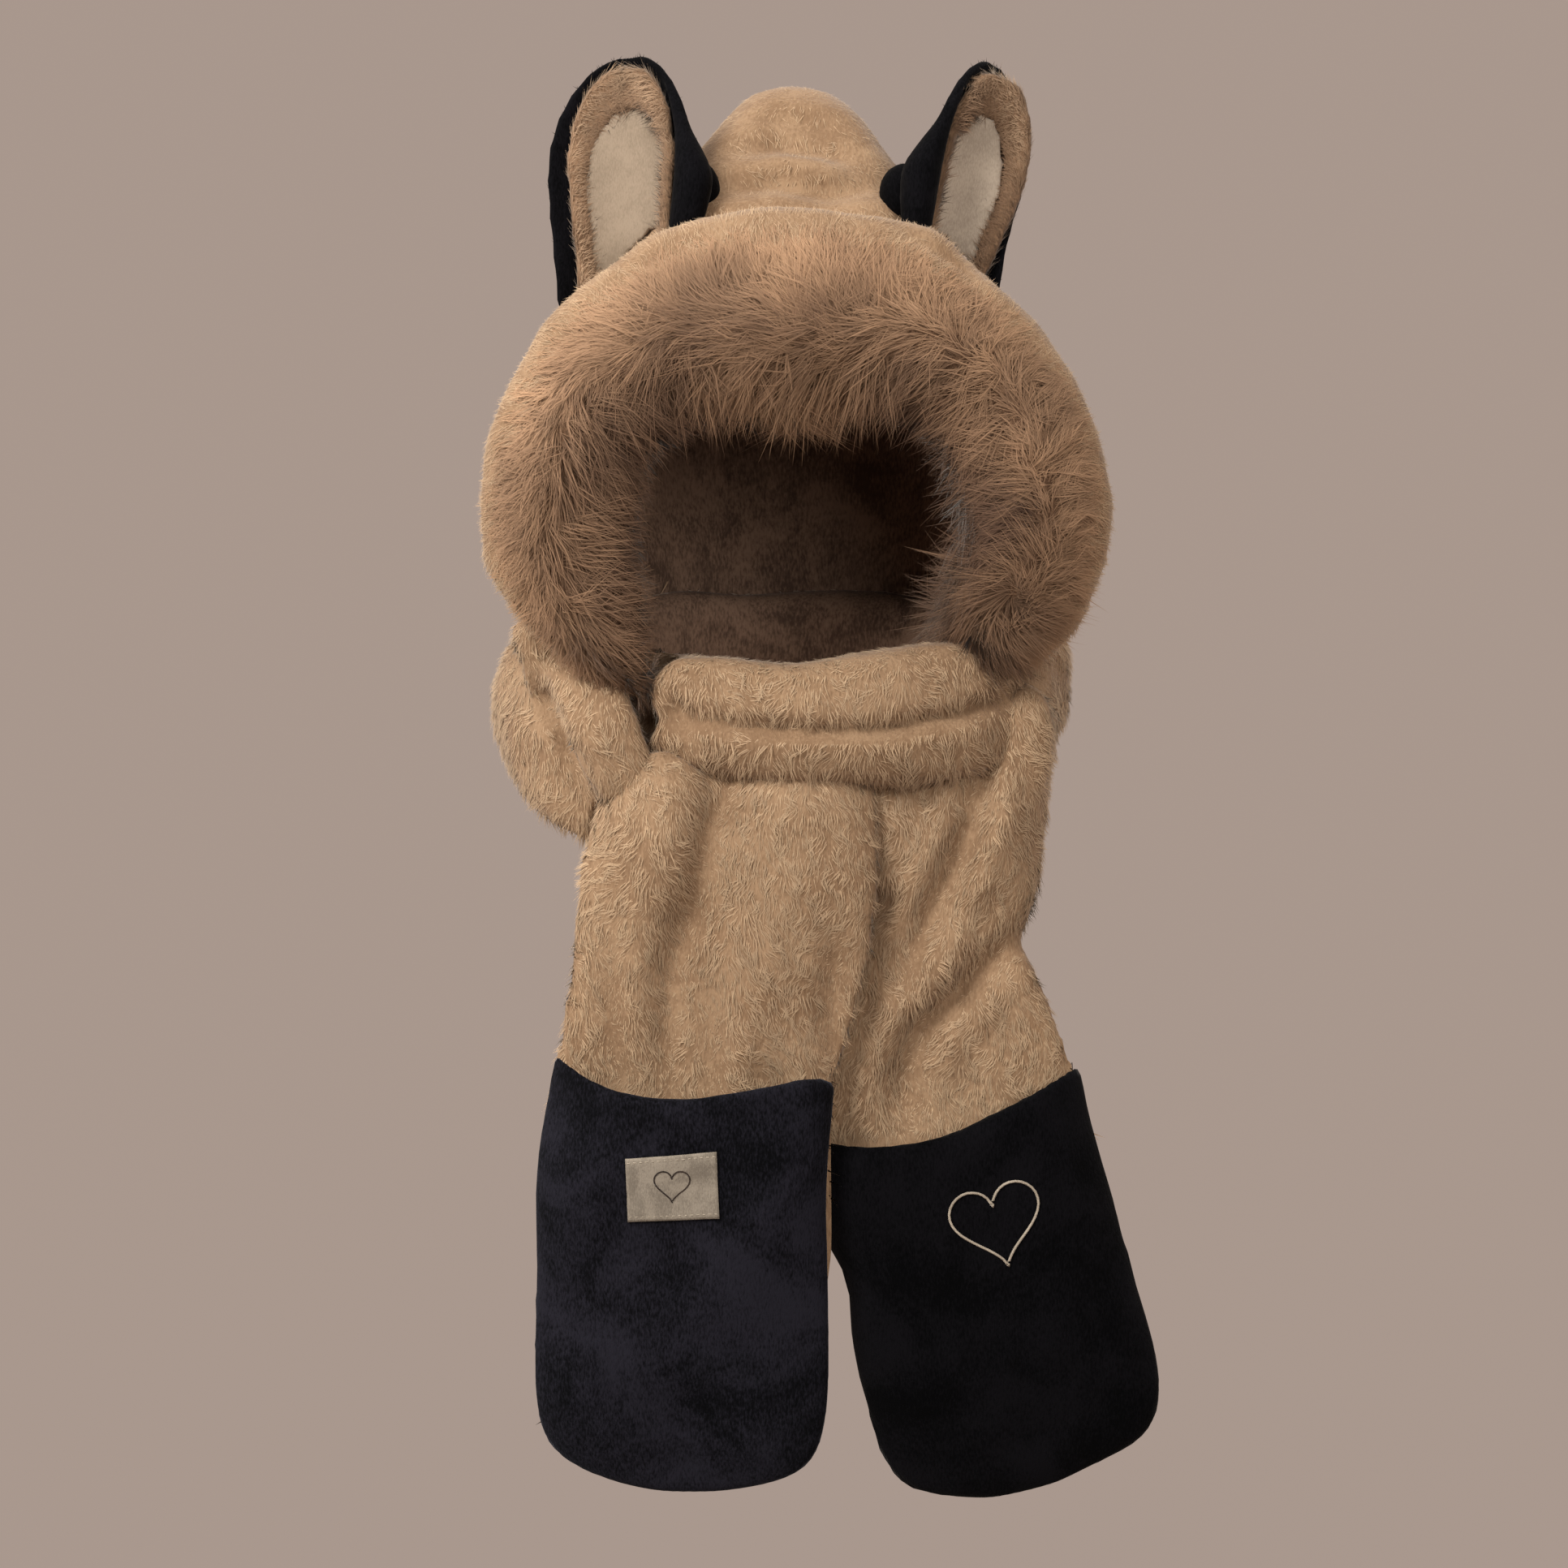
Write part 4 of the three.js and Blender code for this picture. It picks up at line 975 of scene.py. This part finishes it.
scarfHair = {
    "length": 8.5, "width": 0.85, "lift": 46, "wander": 16, "ruffle": 42, "ruffleSize": 12,
    "clump": 0.4, "clumpSize": 6, "softness": 0.8,
}
scarf = {
    "voxel": 5.0, "smoothing": 6, "wrapVoxel": 4.5,
    "wrapFolds": [
        {
            "line": [(-70, -366), (-37, -374), (11, -378), (54, -377), (97, -369), (130, -359), (160, -343)],
            "depth": 9, "width": 4.5, "lip": 0.05,
        },
        {"line": [(-75, -352), (-68, -368), (-60, -382)], "depth": 7, "width": 7},
    ],
    "turnFolds": [{
        "line": [(-158, -340), (-149, -360), (-136, -382), (-120, -404)],
        "depth": 6.5, "width": 5, "straight": True,
    }],
    "leftFolds": [
        {"line": [(-35, -405), (-47, -437), (-56, -475), (-70, -523), (-71, -596)], "depth": 8, "width": 12},
        {"line": [(-50, -525), (-47, -560), (-49, -600)], "depth": 5, "width": 8},
        {"line": [(27, -505), (22, -545), (24, -600)], "depth": 5, "width": 8},
        {"line": [(-104, -500), (-108, -540), (-100, -585)], "depth": 4, "width": 9},
    ],
    "rightFolds": [
        {"line": [(116, -405), (102, -446), (83, -490), (68, -524)], "depth": 9, "width": 8},
        {"line": [(136, -503), (107, -530), (83, -557), (75, -586), (73, -622)], "depth": 9, "width": 8},
    ],
    # rounded tops where the pieces meet: x, y, z and the three radii
    "leftTops": [((-76, -111, -447), (38, 20, 60)), ((-38, -94, -430), (34, 16, 40))],
    "rightTops": [
        ((86, -78, -452), (32, 20, 62)), ((58, -84, -436), (26, 15, 44)), ((140, -72, -398), (20, 16, 34)),
    ],
    "leftLean": [(-730, 0), (-690, 4), (-600, 5), (-560, 3), (-520, 0)],
    "rightLean": [(-712, 0), (-686, -12), (-640, -17), (-600, -19), (-560, -14), (-500, -4), (-470, 0)],
    "wrapTops": [((-66, -108, -355), (22, 16, 24))],
    "turnTops": [((-151, -80, -330), (15, 13, 32)), ((-159, -72, -324), (12, 14, 16))],
    # rolls laid on: x, y, z, half width and half thickness
    "leftLobe": [
        (-6, -106, -403, 38, 10), (-6, -109, -422, 46, 15), (-8, -109, -468, 47, 15),
        (-10, -104, -520, 46, 12), (-13, -98, -572, 44, 8),
    ],
    "rightLobe": [(60, -84, -420, 18, 8), (64, -86, -440, 24, 11), (58, -86, -475, 22, 9)],
    "strip": [
        (-124, -72, -318, 20, 13), (-122, -97, -345, 25, 15), (-114, -111, -372, 25, 15),
        (-104, -114, -398, 23, 14), (-96, -112, -420, 20, 12),
    ],
    "wrapPile": {**scarfHair, "count": 20000, "swirl": 32},
    "turnPile": {**scarfHair, "count": 12000, "swirl": 32},
    "tailPile": {**scarfHair, "count": 20000, "swirl": 36, "swirlSize": 55},
    "mouths": {"left": -604, "right": -624},  # where the tails go into the pockets
    "footHeight": -800,  # no hair below
}


def buildWrap():
    form = softForm("wrapPlush", "neck_wrap", scarf["wrapVoxel"], scarf["smoothing"] + 3, scarf["wrapTops"])
    swell(form, 2.0, 60, seed=13, inset=3.5)
    pressFolds(form, scarf["wrapFolds"])
    finishForm(form, tanCloth, "plush_tan", 0.7, "neck_wrap")

    def inwardShade(points, normals):
        # faces the neck, where the wrap is bare and painted dark: painted shade
        inner = (normals[:, :2] * (points[:, :2] - np.array([0, 0.01]))).sum(axis=1) < 0
        return inner & ((normals[:, 2] < 0.5) | (points[:, 1] > 0.02))

    def outward(points, normals):
        return ~inwardShade(points, normals)

    paintFaces(form, darkLining, inwardShade)
    comb = creased(hangingComb, scarf["wrapFolds"])
    growPile("wrapPile", form, scarf["wrapPile"], comb, 25, tanPile, outward)


def buildTurn():
    form = softForm(
        "turnPlush", "loose_turn", scarf["voxel"], scarf["smoothing"], scarf["turnTops"], scarf["strip"],
    )
    swell(form, 1.5, 60, seed=14, inset=2.5)
    pressFolds(form, scarf["turnFolds"])
    soften(form, 3)

    def behind(points):
        return np.clip((points[:, 1] / mm - 35) / 20, 0, 1)

    # the end behind dives into the wrap
    tuck(form, -158, -122, (0, -18, 0), behind, axis=0)
    finishForm(form, tanCloth, "plush_tan", 0.5, "loose_turn")
    growPile("turnPile", form, scarf["turnPile"], creased(hangingComb, scarf["turnFolds"]), 26, tanPile)


def buildTail(side, seed, edge, rest):
    # the lean is whole at `edge`, and there is none from `rest` on
    name, nodeName = "tail" + side.title(), "scarf_tail_" + side
    tops, roll = scarf[side + "Tops"], scarf[side + "Lobe"]
    form = softForm(name + "Plush", nodeName, scarf["voxel"], scarf["smoothing"], tops, roll)
    swell(form, 1.5, 70, seed, inset=2.0)
    pressFolds(form, scarf[side + "Folds"])
    lean(form, scarf[side + "Lean"], edge, rest)

    def underWrap(points):
        return np.clip((points[:, 0] / mm + 50) / 25, 0, 1)

    tuck(form, -432, -400, (0, 3, 14), underWrap)
    finishForm(form, tanCloth, "plush_tan", 0.4, nodeName)

    def chance(points, normals):
        # fewer behind, and below the pocket's mouth only on the flat back
        chances = np.where(normals[:, 1] > 0.3, 0.5, 1.0)
        low = points[:, 2] < scarf["mouths"][side] * mm
        foot = points[:, 2] < scarf["footHeight"] * mm
        return np.where(low & (normals[:, 1] < 0.985) | foot, 0, chances)

    comb = creased(hangingComb, scarf[side + "Folds"], 20)
    growPile(name + "Pile", form, scarf["tailPile"], comb, seed + 12, tanPile, chance)


buildWrap()
buildTurn()
buildTail("left", 15, 20, -10)
buildTail("right", 16, 35, 100)
print("scarf done")

# pockets

pockets = {"smoothing": 3, "lumps": 1.6, "lumpSize": 90, "rumples": 0.9, "rumpleSize": 32}


def onFront(points, normals):
    return np.clip(-normals[:, 1] * 3 - 2, 0, 1)


def buildPockets():
    for side, seed, cloth in (("left", 17, blueBlack), ("right", 18, deepBlack)):
        form = softForm("pocket" + side.title(), "pocket_" + side, None, pockets["smoothing"])
        swell(form, pockets["lumps"], pockets["lumpSize"], seed)
        swell(form, pockets["rumples"], pockets["rumpleSize"], seed + 60, 0, onFront)
        if side == "right":
            lean(form, scarf["rightLean"], 35, 100)
        finishForm(form, cloth, "plush_black", 0.2, "pocket_" + side)


buildPockets()
print("pockets done")

# ears

ears = {
    "voxel": 3.0, "smoothing": 8, "backSmoothing": 3, "backGrowth": 0.3,
    "knobs": {"left": [((-56, -80, -62), (13, 13, 19))], "right": [((66, -82, -62), (15, 14, 17))]},
    "rightBack": [(-140, -9), (10, -7)],
    "rightBand": [(-140, 4), (10, 4)],
    "middle": {"left": (-101, -56), "right": (107, -56)},
    "panelVoxel": 2.6, "panelGrowth": (1.22, 1.0, 1.1), "panelForward": 2.5,
    "bandPile": {
        "count": 6000, "length": 6.5, "width": 0.55, "lift": 40, "swirl": 20, "wander": 24, "ruffle": 25,
        "droop": 0.0, "softness": 0.85,
    },
    "backPile": {
        "count": 2500, "length": 3.5, "width": 0.6, "lift": 30, "swirl": 20, "wander": 20, "droop": 0.0,
        "softness": 0.8,
    },
}


def risingComb(points, normals):
    way = np.zeros_like(points)
    way[:, 2] = 1
    return way, 1, 1


def buildEarBack(side, seed):
    form = softForm(f"earBack_{side}", f"ear_back_{side}", None, ears["backSmoothing"], ears["knobs"][side])
    swell(form, 0, 50, seed, -ears["backGrowth"])
    if side == "right":
        lean(form, ears["rightBack"], 140, 118)
    finishForm(form, deepBlack, "plush_black", 0.3, f"ear_back_{side}")
    growPile(f"earBackPile_{side}", form, ears["backPile"], risingComb, seed, blackPile)


def buildEarBand(side, seed):
    form = softForm(f"earBand_{side}", f"ear_band_{side}", ears["voxel"], ears["smoothing"])
    if side == "right":
        lean(form, ears["rightBand"], 135, 112)
    finishForm(form, bandCloth, "plush_tan", 0.6, f"ear_band_{side}")
    middle = ears["middle"][side]

    def inwardShade(points):
        # browner towards the panel: the band's own brown, and painted shade in the fold by the panel
        far = np.hypot((points[:, 0] / mm - middle[0]) / 34, (points[:, 2] / mm - middle[1]) / 76)
        return lookUp([(0.55, 1.0), (0.8, 0.8), (1.0, 0.25)], far)

    def bandComb(points, normals):
        # up the ear, and in over the panel's border
        way, lift, length = risingComb(points, normals)
        across = middle[0] - points[:, 0] / mm
        way[:, 0] += across / 22
        way[:, 2] -= 1.1 * (points[:, 2] / mm - middle[1] > 30)
        return way, lift, length * lookUp([(10, 1.5), (24, 1.2), (34, 1)], np.abs(across))

    growPile(f"earBandPile_{side}", form, ears["bandPile"], bandComb, seed + 1, earPile, None, inwardShade)


def buildEarPanel(side):
    form = softForm(f"earPanel_{side}", f"ear_panel_{side}", ears["panelVoxel"], ears["smoothing"])
    points = readPoints(form.data)
    centre = points.mean(axis=0)
    forward = np.array([0, -ears["panelForward"] * mm, 0])
    writePoints(form.data, centre + (points - centre) * np.array(ears["panelGrowth"]) + forward)
    finishForm(form, creamVelvetLitAndShaded[side], "ear_cream", 0.3, f"ear_panel_{side}")


for side, seed in (("left", 51), ("right", 61)):
    buildEarBack(side, seed)
    buildEarBand(side, seed)
    buildEarPanel(side)
print("ears done")

# label

label = {
    "corners": [(-98, -628), (-45, -624), (-43, -664), (-97, -666)],
    "cells": (27, 20), "lift": 1.3, "thick": 1.0, "smoothing": 3,
    "stitch": {"rows": (0.07, 0.93), "count": 15, "length": 2.4, "radius": 0.32},
    "heart": {"middle": (-71, -643), "size": 21, "radius": 0.5},
}
motif = {"middle": (121, -670), "size": 54, "radius": 0.8, "turn": 15, "lift": 0.7}


def onPocket(form, x, z):
    # the front of a pocket at a place in mm, and its normal
    hit, place, normal, _ = form.ray_cast(Vector((x * mm, -0.4, z * mm)), Vector((0, 1, 0)))
    return (place, normal) if hit else (Vector((x * mm, -0.14, z * mm)), Vector((0, -1, 0)))


def threadMesh(bm, places, radius, closed=False):
    # a round thread through places
    loops = []
    count = len(places)
    for i, place in enumerate(places):
        before = places[i - 1] if i or closed else place
        after = places[(i + 1) % count] if i < count - 1 or closed else place
        matrix = (after - before).to_track_quat("Z", "Y").to_matrix().to_4x4()
        matrix.translation = place
        loops.append(bmesh.ops.create_circle(bm, segments=6, radius=radius * mm, matrix=matrix)["verts"])
    bridgeLoops(bm, loops, closed)


def heartPlaces(form, look, lift, steps=56):
    turn = math.radians(look.get("turn", 0))
    places = []
    for step in range(steps):
        t = step / steps * 2 * math.pi
        x = 16 * math.sin(t) ** 3 / 32
        z = (13 * math.cos(t) - 5 * math.cos(2 * t) - 2 * math.cos(3 * t) - math.cos(4 * t)) / 32
        x, z = x * math.cos(turn) - z * math.sin(turn), x * math.sin(turn) + z * math.cos(turn)
        middleX, middleZ = look["middle"]
        place, normal = onPocket(form, middleX + look["size"] * x, middleZ + look["size"] * z)
        places.append(place + normal * lift * mm)
    return places


def finishThread(name, bm, material):
    bmesh.ops.recalc_face_normals(bm, faces=bm.faces)
    made = addObject(name, newMesh(name, bm))
    made.data.materials.append(material)
    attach(made, "root")


def onLabel(u, v):
    # a place on the label in mm, from shares of its width and height
    topLeft, topRight, lowRight, lowLeft = (Vector(corner) for corner in label["corners"])
    return lowLeft.lerp(lowRight, u).lerp(topLeft.lerp(topRight, u), v)


def buildLabelCloth(pocket):
    bm = bmesh.new()
    across, down = label["cells"]
    bmesh.ops.create_grid(bm, x_segments=across, y_segments=down, size=0.5)
    for vert in bm.verts:
        place, normal = onPocket(pocket, *onLabel(vert.co.x + 0.5, vert.co.y + 0.5))
        vert.co = place + normal * label["lift"] * mm
    for _ in range(label["smoothing"]):
        inside = [vert for vert in bm.verts if not vert.is_boundary]
        bmesh.ops.smooth_vert(bm, verts=inside, factor=0.5, use_axis_y=True)
    bmesh.ops.recalc_face_normals(bm, faces=bm.faces)
    form = addObject("labelCloth", newMesh("labelCloth", bm))
    thick = form.modifiers.new("thickness", "SOLIDIFY")
    thick.thickness = label["thick"] * mm
    thick.offset = 0
    bakeModifiers(form)
    finishForm(form, labelWeave, "label_cloth", None, "pocket_label")


def buildStitches(pocket):
    # each stitch dives into the cloth at both ends
    bm = bmesh.new()
    stitch = label["stitch"]
    for row in stitch["rows"]:
        for i in range(stitch["count"]):
            middle = onLabel((i + 0.5) / stitch["count"], row)
            places = []
            for step in (-1, -0.5, 0, 0.5, 1):
                place, normal = onPocket(pocket, middle.x + step * stitch["length"] / 2, middle.y)
                rise = label["lift"] + label["thick"] * (0.55 - 0.6 * step * step)
                places.append(place + normal * rise * mm)
            threadMesh(bm, places, stitch["radius"])
    finishThread("labelStitches", bm, creamThread)


def buildHeart(name, form, look, lift, material):
    bm = bmesh.new()
    threadMesh(bm, heartPlaces(form, look, lift), look["radius"], True)
    finishThread(name, bm, material)


leftPocket = bpy.data.objects["pocketLeft"]
buildLabelCloth(leftPocket)
buildStitches(leftPocket)
buildHeart("labelHeart", leftPocket, label["heart"], label["lift"] + label["thick"] / 2, darkThread)
buildHeart("pocketHeart", bpy.data.objects["pocketRight"], motif, motif["lift"], creamThread)
print("label done")

meshes = [made.data for made in bpy.data.objects if made.type == "MESH"]
print("triangles", sum(len(mesh.loop_triangles) or len(mesh.polygons) for mesh in meshes))
